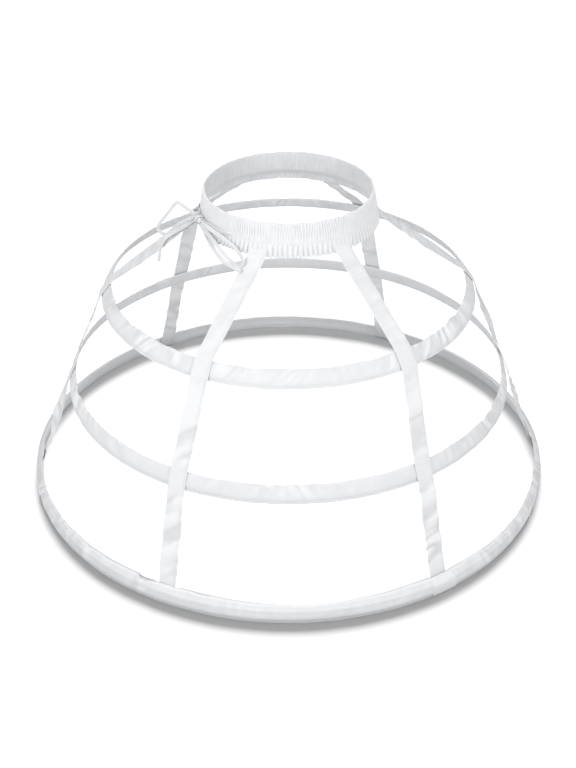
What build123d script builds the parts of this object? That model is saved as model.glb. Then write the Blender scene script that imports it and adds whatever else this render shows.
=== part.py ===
from build123d import *

import math
import os

# Crinoline cage: three hoops in flat cloth casings, hung by six tapes from an elastic waistband with
# a frill and a drawstring. Millimetres. +Z is up, the origin is on the floor under the waist's centre,
# and the cage's front is -Y. Angles are degrees, counted from +X anticlockwise as seen from above.

# ---- hoops: middle line of each casing, how far its top leans inwards, and where its bone is joined
BOTTOM_RADIUS = 370.0
MIDDLE_RADIUS = 307.5
TOP_RADIUS = 250.5
MIDDLE_HEIGHT = 157.5
TOP_HEIGHT = 292.5
BOTTOM_LEAN = 0.0
MIDDLE_LEAN = 23.0
TOP_LEAN = 35.0
BOTTOM_JOIN_ANGLE = 302.0
MIDDLE_JOIN_ANGLE = 198.0
TOP_JOIN_ANGLE = 75.0

# ---- hoop bone, the ferrule over its two ends, and the casing round both
BONE_WIDTH = 12.0
BONE_THICKNESS = 1.5
BONE_END_GAP = 2.0
FERRULE_LENGTH = 40.0
FERRULE_WALL = 0.5
FERRULE_CLEARANCE = 0.1
FERRULE_ROOM = 0.3
CASING_WIDTH = 25.0
CASING_WALL = 0.6
CASING_EDGE_RADIUS = 1.5

# ---- waistband: gathered cloth over an elastic, with a drawstring channel along its seam and a frill
WAIST_RADIUS = 110.0
SEAM_HEIGHT = 412.0
BAND_WALL = 1.1
BAND_FLARE = 5.0
ELASTIC_WIDTH = 19.5
ELASTIC_THICKNESS = 1.2
ELASTIC_ROOM = 0.25
FRILL_DEPTH = 17.5
FRILL_FLARE = 3.0
FRILL_THICKNESS = 2.4
FRILL_LEDGE = 4.0

# ---- tapes
TAPE_WIDTH = 25.0
TAPE_THICKNESS = 1.0
TAPE_GAP = 0.1
TAPE_TOP_DROP = 6.0
TAPE_HEM_RISE = 3.0
TAPE_START_ANGLE = 4.0
TAPE_NAMES = ("right", "back_right", "back_left", "left", "front_left", "front_right")
# Degrees by which a tape strays from its even place, at the waist and the top, middle and bottom hoops.
TAPE_STRAY = {"front_left": (7.0, 0.5, -1.0, 0.0), "front_right": (1.0, 2.0, 0.0, -1.0)}

# ---- drawstring and bow
CORD_DIAMETER = 2.8
CHANNEL_ROOM = 0.5
EYELET_ROOM = 0.4
LEAD_ROOM = 0.6
LEAD_JOIN_RUN = 8.0
# Angles from the knot: where each lead lies on the band, where it dips in, and where it joins the ring.
RIGHT_LEAD_ANGLES = (12.5, 19.5, 25.0)
RIGHT_RING_ANGLE = 34.5
LEFT_LEAD_ANGLES = (-10.0, -15.0)
LEFT_RING_ANGLE = -24.0
KNOT_ANGLE = 201.5
KNOT_LENGTH = 16.0
KNOT_EDGE_RADIUS = 1.0
KNOT_DROP = 2.0
KNOT_CLEARANCE = 0.3
# Clear gaps between the cords where they leave an end face of the knot, across it and up it.
STRAND_GAP_OUT = 0.4
STRAND_GAP_UP = 0.8
STRAND_EXIT_RUN = 7.0

# Routes of the bow's cords after they leave the knot, in the knot's frame: out, along, up.
LEFT_LOOP_POINTS = [
    (8.0, -24.0, 3.0), (14.5, -34.0, 8.5), (18.5, -39.5, 10.6), (22.0, -43.5, 5.0), (27.0, -49.0, -5.0),
    (33.0, -55.5, -17.0), (38.5, -60.0, -26.0), (41.5, -63.0, -34.0), (38.0, -60.5, -40.5),
    (32.5, -54.0, -43.0), (27.5, -48.0, -35.5), (21.0, -39.5, -24.0), (14.5, -29.0, -14.0),
    (7.0, -20.5, -6.5),
]
RIGHT_LOOP_POINTS = [
    (-1.0, 27.0, 1.0), (-8.0, 46.0, -1.5), (-16.0, 63.0, -5.5), (-22.5, 78.0, -11.5), (-26.0, 90.0, -18.0),
    (-24.5, 97.0, -22.5), (-19.0, 95.0, -26.5), (-13.5, 84.0, -25.0), (-8.0, 66.5, -19.5),
    (-4.0, 47.0, -13.0), (0.0, 28.0, -6.5),
]
LEFT_TAIL_POINTS = [
    (2.0, -20.0, -8.0), (9.5, -24.0, -16.0), (18.0, -30.0, -24.0), (26.0, -37.0, -31.0),
    (34.0, -43.0, -38.5), (40.0, -42.5, -44.0), (44.5, -37.5, -47.5), (47.0, -35.0, -55.0),
    (48.5, -35.3, -63.0), (49.3, -37.0, -70.5),
]
RIGHT_TAIL_POINTS = [
    (-0.5, 18.0, -7.5), (0.8, 27.0, -13.5), (-0.5, 45.0, -19.0), (-2.5, 64.0, -24.0), (-7.0, 79.0, -27.5),
    (-12.5, 92.0, -28.5), (-19.5, 103.0, -29.8),
]

# ---------------------------------------------------------------- sizes worked out from those above
ferrule_opening_width = BONE_WIDTH + 2 * FERRULE_CLEARANCE
ferrule_opening_thickness = BONE_THICKNESS + 2 * FERRULE_CLEARANCE
ferrule_width = ferrule_opening_width + 2 * FERRULE_WALL
ferrule_thickness = ferrule_opening_thickness + 2 * FERRULE_WALL
casing_hollow_width = CASING_WIDTH - 2 * CASING_WALL
casing_hollow_thickness = ferrule_thickness + 2 * FERRULE_ROOM
casing_thickness = casing_hollow_thickness + 2 * CASING_WALL

cord_radius = CORD_DIAMETER / 2
channel_radius = cord_radius + CHANNEL_ROOM
band_top_radius = WAIST_RADIUS + 2 * BAND_WALL + ELASTIC_THICKNESS + 2 * ELASTIC_ROOM
seam_radius = max(band_top_radius + BAND_FLARE, WAIST_RADIUS + 2 * (BAND_WALL + channel_radius))
hem_radius = seam_radius + FRILL_FLARE
channel_ring_radius = seam_radius - BAND_WALL - channel_radius
elastic_base_height = SEAM_HEIGHT + channel_radius + BAND_WALL
band_top_height = elastic_base_height + ELASTIC_WIDTH + 2 * ELASTIC_ROOM + BAND_WALL
band_foot_height = SEAM_HEIGHT - channel_radius - BAND_WALL
hem_height = SEAM_HEIGHT - FRILL_DEPTH
lead_radius = seam_radius + LEAD_ROOM + cord_radius
frill_slope = FRILL_FLARE / FRILL_DEPTH
strand_offset_out = cord_radius + STRAND_GAP_OUT / 2
strand_offset_up = cord_radius + STRAND_GAP_UP / 2
knot_depth = 2 * (strand_offset_out + cord_radius + KNOT_EDGE_RADIUS)
knot_height = 2 * (max(strand_offset_up, KNOT_DROP) + cord_radius + KNOT_EDGE_RADIUS)
knot_back_radius = seam_radius + frill_slope * (KNOT_DROP + knot_height / 2) + KNOT_CLEARANCE
knot_centre_radius = knot_back_radius + knot_depth / 2
knot_place = Rot(0, 0, KNOT_ANGLE) * Pos(knot_centre_radius, 0, SEAM_HEIGHT - KNOT_DROP)

HOOPS = {
    "bottom": (BOTTOM_RADIUS, CASING_WIDTH / 2, BOTTOM_LEAN, BOTTOM_JOIN_ANGLE),
    "middle": (MIDDLE_RADIUS, MIDDLE_HEIGHT, MIDDLE_LEAN, MIDDLE_JOIN_ANGLE),
    "top": (TOP_RADIUS, TOP_HEIGHT, TOP_LEAN, TOP_JOIN_ANGLE),
}


def polar(radius, angle, height):
    """Point at a radius and an angle round the cage's axis."""
    return Vector(radius * math.cos(math.radians(angle)), radius * math.sin(math.radians(angle)), height)


def save(node, solid):
    """Write one sub-part."""
    solid.label = node
    export_step(solid, f"parts/{node}.step")
    return solid


# ---------------------------------------------------------------- hoops
def hoop_section(hoop, thickness, width, edge_radius=0.0):
    """Flat section of a ring, leaning with its casing, in the plane of radius and height."""
    radius, height, lean, _ = HOOPS[hoop]
    outline = RectangleRounded(thickness, width, edge_radius) if edge_radius else Rectangle(thickness, width)
    return Plane.XZ * Pos(radius, height) * Rot(0, 0, lean) * outline


def ring_stretch(section, centre_angle, arc):
    """Revolve a section through an arc whose middle is at an angle."""
    return Rot(0, 0, centre_angle - arc / 2) * revolve(section, Axis.Z, arc)


def hoop_casing(hoop):
    """Closed flat tube of cloth round the hoop's bone."""
    outer = hoop_section(hoop, casing_thickness, CASING_WIDTH, CASING_EDGE_RADIUS)
    hollow_edge = max(CASING_EDGE_RADIUS - CASING_WALL, 0.2)
    hollow = hoop_section(hoop, casing_hollow_thickness, casing_hollow_width, hollow_edge)
    return revolve(outer - hollow, Axis.Z)


def hoop_bone(hoop):
    """Flat sprung band bent to a ring, its two ends just short of each other."""
    radius, _, _, join_angle = HOOPS[hoop]
    gap_arc = math.degrees(BONE_END_GAP / radius)
    section = hoop_section(hoop, BONE_THICKNESS, BONE_WIDTH)
    return ring_stretch(section, join_angle + 180.0, 360.0 - gap_arc)


def hoop_ferrule(hoop):
    """Flattened metal sleeve over the two ends of a bone."""
    radius, _, _, join_angle = HOOPS[hoop]
    sleeve = hoop_section(hoop, ferrule_thickness, ferrule_width)
    opening = hoop_section(hoop, ferrule_opening_thickness, ferrule_opening_width)
    return ring_stretch(sleeve - opening, join_angle, math.degrees(FERRULE_LENGTH / radius))


def casing_edges(hoop, side):
    """Radius and height of a casing's upper and lower edges, on its outer (+1) or inner (-1) face."""
    radius, height, lean, _ = HOOPS[hoop]
    lean = math.radians(lean)
    face_radius = radius + side * math.cos(lean) * casing_thickness / 2
    face_height = height + side * math.sin(lean) * casing_thickness / 2
    edges = []
    for end in (1, -1):
        reach = end * CASING_WIDTH / 2
        edges.append((face_radius - reach * math.sin(lean), face_height + reach * math.cos(lean)))
    return edges


# ---------------------------------------------------------------- waistband
def waistband_section():
    """Band with its elastic's hollow and drawstring channel, and the frill below the seam."""
    outline = Polyline(
        (WAIST_RADIUS, band_top_height), (band_top_radius, band_top_height), (seam_radius, SEAM_HEIGHT),
        (hem_radius, hem_height), (hem_radius - FRILL_THICKNESS, hem_height),
        (seam_radius - FRILL_THICKNESS, band_foot_height - FRILL_LEDGE), (WAIST_RADIUS, band_foot_height),
        close=True)
    hollow_thickness = ELASTIC_THICKNESS + 2 * ELASTIC_ROOM
    hollow_height = ELASTIC_WIDTH + 2 * ELASTIC_ROOM
    hollow = Pos(WAIST_RADIUS + BAND_WALL + hollow_thickness / 2, elastic_base_height + hollow_height / 2) \
        * Rectangle(hollow_thickness, hollow_height)
    channel = Pos(channel_ring_radius, SEAM_HEIGHT) * Circle(channel_radius)
    return Plane.XZ * (make_face(outline) - hollow - channel)


def waist_elastic():
    """Elastic sewn into a ring, upright in the band."""
    section = Pos(WAIST_RADIUS + BAND_WALL + ELASTIC_ROOM + ELASTIC_THICKNESS / 2,
                  elastic_base_height + ELASTIC_ROOM + ELASTIC_WIDTH / 2) \
        * Rectangle(ELASTIC_THICKNESS, ELASTIC_WIDTH)
    return revolve(Plane.XZ * section, Axis.Z)


# ---------------------------------------------------------------- cords
def bend_radii(points):
    """Radius of each bend: as large as its two runs allow."""
    radii = []
    for before, corner, after in zip(points, points[1:], points[2:]):
        arrive = Vector(*corner) - Vector(*before)
        leave = Vector(*after) - Vector(*corner)
        half_turn = math.radians(arrive.get_angle(leave)) / 2
        radii.append(0.45 * min(arrive.length, leave.length) / math.tan(half_turn))
    return radii


def bent_path(points):
    """Straight runs joined by tangent arcs."""
    points = [tuple(point) for point in points]
    return FilletPolyline(*points, radius=bend_radii(points))


def tube(path, radius):
    """Round cord along a path."""
    start = Plane(origin=path @ 0, z_dir=path % 0)
    return sweep(start * Circle(radius), path=path)


def strand(node, points):
    """One free cord of the bow, from its route in the knot's frame."""
    world = [knot_place * Pos(*point) for point in points]
    route = [place.position for place in world]
    path = bent_path(route)
    solid = tube(path, cord_radius)
    section_times_length = math.pi * cord_radius ** 2 * path.length
    radii = " ".join(f"{radius:.1f}" for radius in bend_radii([tuple(point) for point in route]))
    print(f"{node}: length {path.length:.1f}, volume {solid.volume:.1f} against {section_times_length:.1f}, "
          f"radii {radii}")
    return save(node, solid)


def knot_exit(side, out, up):
    """Two points that carry a strand straight out of one end of the knot."""
    face = side * KNOT_LENGTH / 2
    return [(out, face, up), (out, face + side * STRAND_EXIT_RUN, up)]


def lead_points(side, lead_angles, ring_angle):
    """Route of a lead: out of the knot, along the band, and in through it to the channel's ring."""
    points = [(knot_place * Pos(-strand_offset_out, side * reach, KNOT_DROP)).position
              for reach in (KNOT_LENGTH / 2, KNOT_LENGTH / 2 + STRAND_EXIT_RUN)]
    points += [polar(lead_radius, KNOT_ANGLE + angle, SEAM_HEIGHT) for angle in lead_angles]
    ring_point = polar(channel_ring_radius, KNOT_ANGLE + ring_angle, SEAM_HEIGHT)
    tangent = polar(side * LEAD_JOIN_RUN, KNOT_ANGLE + ring_angle + 90.0, 0.0)
    return points + [ring_point - tangent, ring_point]


def knot():
    """Lump of the tied knot, long way round the waist."""
    block = Box(knot_depth, KNOT_LENGTH, knot_height)
    return knot_place * fillet(block.edges(), KNOT_EDGE_RADIUS)


# ---------------------------------------------------------------- tapes
def offset_corners(line, distance):
    """Corners of a line moved sideways in the plane of radius and height, mitred at each bend."""
    normals = []
    for (r0, z0), (r1, z1) in zip(line, line[1:]):
        run = math.hypot(r1 - r0, z1 - z0)
        normals.append(((z0 - z1) / run, (r1 - r0) / run))
    moved = []
    for index, (radius, height) in enumerate(line):
        before = normals[max(index - 1, 0)]
        after = normals[min(index, len(normals) - 1)]
        scale = distance / (1 + before[0] * after[0] + before[1] * after[1])
        moved.append((radius + scale * (before[0] + after[0]), height + scale * (before[1] + after[1])))
    return moved


def inside_chord(radius):
    """Radius of a flat tape's outer face whose two edges lie just inside a round wall."""
    return math.sqrt((radius - TAPE_GAP) ** 2 - (TAPE_WIDTH / 2) ** 2)


def tape_line():
    """Line of a tape's inner face: down the frill, outside two casings, and inside the bottom one."""
    frill_top = (seam_radius + frill_slope * TAPE_TOP_DROP, SEAM_HEIGHT - TAPE_TOP_DROP)
    outside = [frill_top, (hem_radius, hem_height)]
    outside += casing_edges("top", 1)
    outside += casing_edges("middle", 1)
    line = [(radius + TAPE_GAP, height) for radius, height in outside]
    inner_wall = BOTTOM_RADIUS - casing_thickness / 2
    end_radius = inside_chord(inner_wall) - TAPE_THICKNESS
    line += [(end_radius, CASING_WIDTH), (end_radius, TAPE_HEM_RISE)]
    return line


def tape(name, even_angle):
    """Flat tape from the frill to the bottom hoop, lofted straight from station to station."""
    waist, top, middle, bottom = TAPE_STRAY.get(name, (0.0, 0.0, 0.0, 0.0))
    strays = (waist, waist, top, top, middle, middle, bottom, bottom)
    inner = tape_line()
    outer = offset_corners(inner, TAPE_THICKNESS)
    sections = []
    for inner_point, outer_point, stray in zip(inner, outer, strays):
        angle = even_angle + stray
        across = polar(TAPE_WIDTH / 2, angle + 90.0, 0.0)
        near = polar(inner_point[0], angle, inner_point[1])
        far = polar(outer_point[0], angle, outer_point[1])
        sections.append(make_face(Polyline(near - across, near + across, far + across, far - across,
                                           close=True)))
    return loft(sections, ruled=True)


# ---------------------------------------------------------------- build
os.makedirs("parts", exist_ok=True)

for hoop_name in HOOPS:
    save(f"{hoop_name}_hoop_casing", hoop_casing(hoop_name))
    save(f"{hoop_name}_hoop_bone", hoop_bone(hoop_name))
    save(f"{hoop_name}_hoop_ferrule", hoop_ferrule(hoop_name))

for number, tape_name in enumerate(TAPE_NAMES):
    save(f"tape_{tape_name}", tape(tape_name, TAPE_START_ANGLE + number * 360.0 / len(TAPE_NAMES)))

right_lead = lead_points(1, RIGHT_LEAD_ANGLES, RIGHT_RING_ANGLE)
left_lead = lead_points(-1, LEFT_LEAD_ANGLES, LEFT_RING_ANGLE)
right_lead_path = bent_path(right_lead)
left_lead_path = bent_path(list(reversed(left_lead)))
ring_path = Pos(0, 0, SEAM_HEIGHT) * CenterArc(
    (0, 0, 0), channel_ring_radius, KNOT_ANGLE + RIGHT_RING_ANGLE, 360.0 + LEFT_RING_ANGLE - RIGHT_RING_ANGLE)
drawstring_path = Wire(right_lead_path.edges() + ring_path.edges() + left_lead_path.edges())

waistband = revolve(waistband_section(), Axis.Z)
waistband -= tube(right_lead_path, cord_radius + EYELET_ROOM)
waistband -= tube(left_lead_path, cord_radius + EYELET_ROOM)
save("waistband", waistband)
save("waist_elastic", waist_elastic())
save("drawstring", tube(drawstring_path, cord_radius))
save("bow_knot", knot())

strand("bow_left_loop", knot_exit(-1, strand_offset_out, strand_offset_up) + LEFT_LOOP_POINTS
       + knot_exit(-1, strand_offset_out, -strand_offset_up)[::-1])
strand("bow_right_loop", knot_exit(1, strand_offset_out, strand_offset_up) + RIGHT_LOOP_POINTS
       + knot_exit(1, strand_offset_out, -strand_offset_up)[::-1])
strand("bow_left_tail", knot_exit(-1, -strand_offset_out, -strand_offset_up) + LEFT_TAIL_POINTS)
strand("bow_right_tail", knot_exit(1, -strand_offset_out, -strand_offset_up) + RIGHT_TAIL_POINTS)
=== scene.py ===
"""Crinoline cage: three hoops in cotton casings, six tapes, and a gathered waistband with a bow.

Sizes in the code are millimetres and become metres where a mesh is filled. Angles are degrees, counted
from +X anticlockwise as seen from above. The cage's front is -Y and +Z is up.
"""

import math

import bpy
import numpy as np
from bpy.props import FloatProperty, FloatVectorProperty, IntProperty, PointerProperty
from mathutils import Euler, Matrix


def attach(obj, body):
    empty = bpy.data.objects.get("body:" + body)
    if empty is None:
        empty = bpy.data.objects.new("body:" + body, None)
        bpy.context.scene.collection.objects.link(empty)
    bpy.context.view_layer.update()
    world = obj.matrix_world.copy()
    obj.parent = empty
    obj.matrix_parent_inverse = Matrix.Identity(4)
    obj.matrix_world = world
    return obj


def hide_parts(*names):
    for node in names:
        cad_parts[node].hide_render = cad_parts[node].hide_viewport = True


bl_info = {
    "name": "Crinoline Cage",
    "version": (1, 0, 0),
    "blender": (4, 5, 0),
    "location": "View3D > Sidebar > Crinoline",
    "description": "Builds the cloth, cords and stage of a crinoline cage round its frame",
    "category": "Object",
}

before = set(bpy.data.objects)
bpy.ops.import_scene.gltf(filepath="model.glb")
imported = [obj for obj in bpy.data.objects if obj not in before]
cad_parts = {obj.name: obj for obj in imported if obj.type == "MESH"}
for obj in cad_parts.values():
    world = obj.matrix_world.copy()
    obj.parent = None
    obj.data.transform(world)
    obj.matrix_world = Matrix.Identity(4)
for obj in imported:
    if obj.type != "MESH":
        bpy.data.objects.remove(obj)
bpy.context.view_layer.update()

MM = 0.001

# Middle line of each casing: radius, height, how far its top leans inwards, where its bone is joined,
# columns of its mesh, and the seed of its wrinkles.
HOOPS = {
    "bottom": {"radius": 370.0, "height": 12.5, "lean": 0.0, "join": 302.0, "columns": 1450, "seed": 11},
    "middle": {"radius": 307.5, "height": 157.5, "lean": 23.0, "join": 198.0, "columns": 1200, "seed": 12},
    "top": {"radius": 250.5, "height": 292.5, "lean": 35.0, "join": 75.0, "columns": 1000, "seed": 13},
}
# Where each casing's cloth is bunched along its bone: angle, reach and strength.
BUNCHING = {
    "bottom": (
        (198.0, 16.0, 0.9), (342.0, 14.0, 0.9), (232.0, 16.0, 0.35), (322.0, 8.0, 0.5), (90.0, 40.0, 0.35),
    ),
    "middle": ((203.0, 12.0, 1.0), (338.0, 16.0, 0.7), (120.0, 30.0, 0.4), (268.0, 14.0, 0.25)),
    "top": ((318.0, 20.0, 1.0), (214.0, 22.0, 0.9), (262.0, 12.0, 0.3), (75.0, 40.0, 0.6)),
}
# How far the loose top edge of the bottom casing leans in all round, how far it does under a tape, and what
# is added: angle, reach and length.
EDGE_LEANS_IN = 7.0
EDGE_LEANS_IN_UNDER_TAPE = 9.0
EDGE_LEANS_MORE = ((245.0, 24.0, 4.2), (301.0, 20.0, 3.6), (275.0, 8.0, -3.2), (35.0, 40.0, 2.0))
# A notch in the bottom casing's top edge: its start, both ends of its deepest part, and its end, in degrees.
NOTCH_ANGLES = (237.0, 237.6, 238.5, 243.0)
NOTCH_DEPTH = 2.6
# How far out the bone holds the cloth, what its ferrule adds, how far round from the join that goes, and the
# height past which the cloth closes again.
BONE_HOLDS = 0.95
FERRULE_ADDS = 0.6
FERRULE_REACH = 30.0
BONE_EDGE = 7.2
# How softly the bottom casing's cloth bends over its bone.
EDGE_ROUNDING = 1.3
CASING_HALF_WIDTH = 12.5
# Down one face of a casing: height from its middle line, and half its thickness there.
CASING_FACE = (
    (12.5, 0.0), (12.25, 0.5), (11.6, 0.95), (10.4, 1.35), (8.6, 1.7), (7.2, 1.85), (6.0, 1.95), (3.0, 2.1),
    (0.0, 2.15), (-3.0, 2.1), (-5.8, 1.9), (-7.8, 1.5), (-9.0, 0.95), (-9.6, 0.5), (-10.2, 0.78),
    (-11.2, 0.75), (-12.1, 0.45), (-12.5, 0.0),
)
LIP_STITCH_HEIGHT = -9.6
# Height on the bottom casing at which the tapes are caught in, and how far out those stitches lie.
CATCH_STITCH_HEIGHT = 10.2
CATCH_STITCH_OUT = 1.55
# Down the bottom casing's closing lap: height from the casing's middle line, and how far out it lies.
LAP_FACE = (
    (12.75, 1.2), (12.3, 2.35), (11.0, 2.6), (9.0, 2.7), (6.0, 2.72), (2.0, 2.75), (-2.0, 2.75), (-6.0, 2.7),
    (-9.0, 2.6), (-11.0, 2.4), (-11.9, 2.2),
)
LAP_HALF_REACH = 2.95
LAP_COLUMNS = 64
LAP_THICKNESS = 0.75

TAPE_NAMES = ("right", "back_right", "back_left", "left", "front_left", "front_right")
TAPE_START_ANGLE = 4.0
TAPE_HALF_WIDTH = 12.5
# Degrees that a tape strays at the waist and at the top, middle and bottom hoops.
TAPE_STRAY = {"front_left": (7.0, 0.5, -1.0, 0.0), "front_right": (1.0, 2.0, 0.0, -1.0)}
# Radius and height of a tape's inner face at each of its bends.
TAPE_LINE = (
    (120.0, 406.0), (122.0, 394.5), (245.3, 304.0), (259.6, 283.6), (304.8, 169.9), (314.6, 146.9),
    (356.8, 26.5), (366.4, 3.0),
)
# Bends between which a tape hangs free, and how far from them its wrinkles take to reach their full depth.
TAPE_BAYS = ((1, 2), (3, 4), (5, 6))
TAPE_BAY_FADE = (1.0, 18.0)
# Distance from one section of a tape's mesh to the next.
TAPE_STEP = 1.6
# Degrees that a tape is twisted in the middle of each bay.
TAPE_TWIST = {"right": (8.0, -16.0, 14.0), "left": (-8.0, 14.0, -18.0), "back_left": (0.0, 4.0, -6.0)}
# Wrinkle depth in each bay from the top, and the slant of the wrinkles.
TAPE_WRINKLES = {
    "right": (0.5, 0.8, 0.9, 20.0), "back_right": (0.6, 0.8, 0.6, -30.0), "back_left": (0.5, 0.7, 0.9, 35.0),
    "left": (0.6, 0.9, 1.0, -25.0), "front_left": (0.25, 0.75, 1.0, 42.0),
    "front_right": (0.3, 0.6, 1.1, 4.0),
}
# Across one face of a tape: place from its middle line, and half its thickness there.
TAPE_FACE = (
    (-12.5, 0.0), (-12.35, 0.26), (-11.6, 0.4), (-10.8, 0.36), (-8.0, 0.33), (-5.0, 0.33), (-2.0, 0.33),
    (1.0, 0.33), (4.0, 0.33), (7.0, 0.33), (8.9, 0.34), (9.7, 0.2), (10.4, 0.52), (11.6, 0.55), (12.3, 0.36),
    (12.5, 0.0),
)
HEM_STITCH_PLACE = 9.7
# How far along a tape the stitches across its folded top lie, half the length of a row across it, how far
# below and above a hoop's bends its other rows lie, and how far out the stitches lie.
TOP_STITCH_PLACE = 9.5
ACROSS_STITCH_REACH = 11.2
HOOP_STITCH_PLACES = {2: 2.2, 3: -2.4, 4: 2.2, 5: -2.4}
TAPE_STITCH_OUT = 0.42

# Once round the waistband's section: radius, height, depth of the fine folds and of the frill's folds.
BAND_SECTION = (
    (112.0, 436.5, 0.35, 0.0), (113.2, 436.3, 0.6, 0.0), (114.1, 435.3, 0.85, 0.0), (114.6, 433.0, 1.0, 0.0),
    (115.2, 430.0, 1.0, 0.0), (115.8, 427.0, 1.0, 0.0), (116.4, 424.0, 1.0, 0.0), (117.0, 421.0, 1.0, 0.0),
    (117.5, 418.0, 0.95, 0.0), (117.9, 415.6, 0.8, 0.05), (118.15, 414.2, 0.6, 0.15),
    (118.4, 412.8, 0.6, 0.25),
    (118.6, 411.4, 0.6, 0.3), (118.55, 410.0, 0.5, 0.35), (118.6, 408.6, 0.5, 0.6), (119.1, 406.8, 0.5, 1.1),
    (119.7, 404.8, 0.45, 1.6), (120.3, 402.6, 0.35, 2.0), (120.9, 400.4, 0.3, 2.3), (121.4, 398.0, 0.2, 2.6),
    (121.8, 395.8, 0.15, 2.8), (122.1, 394.0, 0.1, 2.9), (122.3, 392.8, 0.05, 2.9), (121.9, 392.2, 0.0, 2.9),
    (121.4, 392.7, 0.0, 2.9), (121.2, 394.4, 0.0, 2.9), (120.9, 396.8, 0.0, 2.6), (120.2, 399.2, 0.1, 2.2),
    (118.9, 401.8, 0.3, 1.6), (117.0, 404.2, 0.5, 1.0), (114.6, 406.6, 0.7, 0.5), (112.4, 408.8, 0.9, 0.2),
    (111.0, 411.2, 1.1, 0.0), (110.2, 414.4, 1.3, 0.0), (109.9, 419.0, 1.4, 0.0), (109.9, 424.5, 1.4, 0.0),
    (110.0, 430.0, 1.4, 0.0), (110.2, 433.6, 1.1, 0.0), (110.9, 436.0, 0.5, 0.0),
)
BAND_COLUMNS = 2400
# Radius below which the band's skin faces inwards, height below which the frill starts, and the radius and
# row from which the frill's underside and the band's whole inner face get painted shade.
BAND_INNER_RADIUS = 111.5
FRILL_TOP = 408.0
FRILL_SHADE_RADIUS = 121.45
FRILL_SHADE_ROW = 23
# Radius of a circle as long round as the band's cloth is before it is gathered.
BAND_CLOTH_RADIUS = 151.0

# Routes of the drawstring and bow, in the knot's frame: out from the band, along it, and up.
KNOT_ANGLE = 201.5
KNOT_RADIUS = 124.297
KNOT_HEIGHT = 410.0
BOW_ROUTES = {
    "bow_left_loop": (
        (1.6, -8.0, 1.8), (1.6, -15.0, 1.8), (8.0, -24.0, 3.0), (14.5, -34.0, 8.5), (18.5, -39.5, 10.6),
        (22.0, -43.5, 5.0), (27.0, -49.0, -5.0), (33.0, -55.5, -17.0), (38.5, -60.0, -26.0),
        (41.5, -63.0, -34.0), (38.0, -60.5, -40.5), (32.5, -54.0, -43.0), (27.5, -48.0, -35.5),
        (21.0, -39.5, -24.0), (14.5, -29.0, -14.0), (7.0, -20.5, -6.5), (1.6, -15.0, -1.8), (1.6, -8.0, -1.8),
    ),
    "bow_right_loop": (
        (1.6, 8.0, 1.8), (1.6, 15.0, 1.8), (-1.0, 27.0, 1.0), (-8.0, 46.0, -1.5), (-16.0, 63.0, -5.5),
        (-22.5, 78.0, -11.5), (-26.0, 90.0, -18.0), (-24.5, 97.0, -22.5), (-19.0, 95.0, -26.5),
        (-13.5, 84.0, -25.0), (-8.0, 66.5, -19.5), (-4.0, 47.0, -13.0), (0.0, 28.0, -6.5),
        (1.6, 15.0, -1.8), (1.6, 8.0, -1.8),
    ),
    "bow_left_tail": (
        (-1.6, -8.0, -1.8), (-1.6, -15.0, -1.8), (2.0, -20.0, -8.0), (9.5, -24.0, -16.0),
        (18.0, -30.0, -24.0), (26.0, -37.0, -31.0), (34.0, -43.0, -38.5), (40.0, -42.5, -44.0),
        (44.5, -37.5, -47.5), (47.0, -35.0, -55.0), (48.5, -35.3, -63.0), (49.3, -37.0, -70.5),
    ),
    "bow_right_tail": (
        (-1.6, 8.0, -1.8), (-1.6, 15.0, -1.8), (-0.5, 18.0, -7.5), (0.8, 27.0, -13.5), (-0.5, 45.0, -19.0),
        (-2.5, 64.0, -24.0), (-7.0, 79.0, -27.5), (-12.5, 92.0, -28.5), (-19.5, 103.0, -29.8),
    ),
}
# Length of each cord of the bow, what is on its far end, and how far it is turned about itself along it.
BOW_CORDS = {
    "bow_left_loop": (0.179, "object", (0.0, 20.0, 35.0, 25.0, -10.0, 12.0, 0.0)),
    "bow_right_loop": (0.198, "object", (10.0, -15.0, 10.0, 45.0, 15.0, -10.0, 0.0)),
    "bow_left_tail": (0.104, "bare", (0.0, 10.0, -10.0, 15.0, 50.0, 20.0)),
    "bow_right_tail": (0.105, "bare", (0.0, -15.0, 12.0, -8.0, 20.0)),
}
# Way that the bow's flat side faces where it isn't turned.
BOW_FACING = (-0.05, -0.87, 0.49)
# The knot's middle out from its frame; half its roll's depth, height and length; half the depth and height
# of the turn of braid round it; and half that braid's width and half its thickness.
KNOT_OUT = 1.4
KNOT_ROLL = (5.1, 5.3, 8.2)
KNOT_TURN = (5.55, 5.8)
KNOT_BRAID = (2.5, 0.75)
# The drawstring's own radius where its channel hides it, how far from the axis and how high the channel is,
# how far from the axis its leads lie on the band, and between what lengths from each end it goes in.
HIDDEN_CORD_RADIUS = 1.3
CHANNEL_RADIUS = 115.9
CHANNEL_HEIGHT = 412.0
LEAD_RADIUS = 121.2
LEAD_GOES_IN = (52.0, 64.0)
LEAD_COMES_OUT = (34.0, 46.0)

# Place of each square light and the point that it faces, in metres; and the length of a square's side.
SQUARE_LIGHTS = {
    "left": ((-1.3, -1.35, 1.4), (0.0, 0.0, 0.12)),
    "right": ((1.3, -1.35, 1.4), (0.0, 0.0, 0.12)),
    "low": ((0.0, -2.0, 0.9), (0.0, 0.0, 0.0)),
    "side": ((-2.2, 0.5, 1.0), (0.0, 0.0, 0.2)),
    "behind": ((0.4, 2.2, 1.2), (0.0, 0.0, 0.2)),
}
SQUARE_LIGHT_SIZE = 1.1
# Place from which each broad light shines towards the middle, and the angle that it spreads over; and half
# the floor's side, in metres.
BROAD_LIGHTS = {"back": ((0.1, 2.6, 2.15), 40.0), "top": ((-0.4, -0.5, 2.0), 70.0)}
FLOOR_REACH = 12.0


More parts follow.
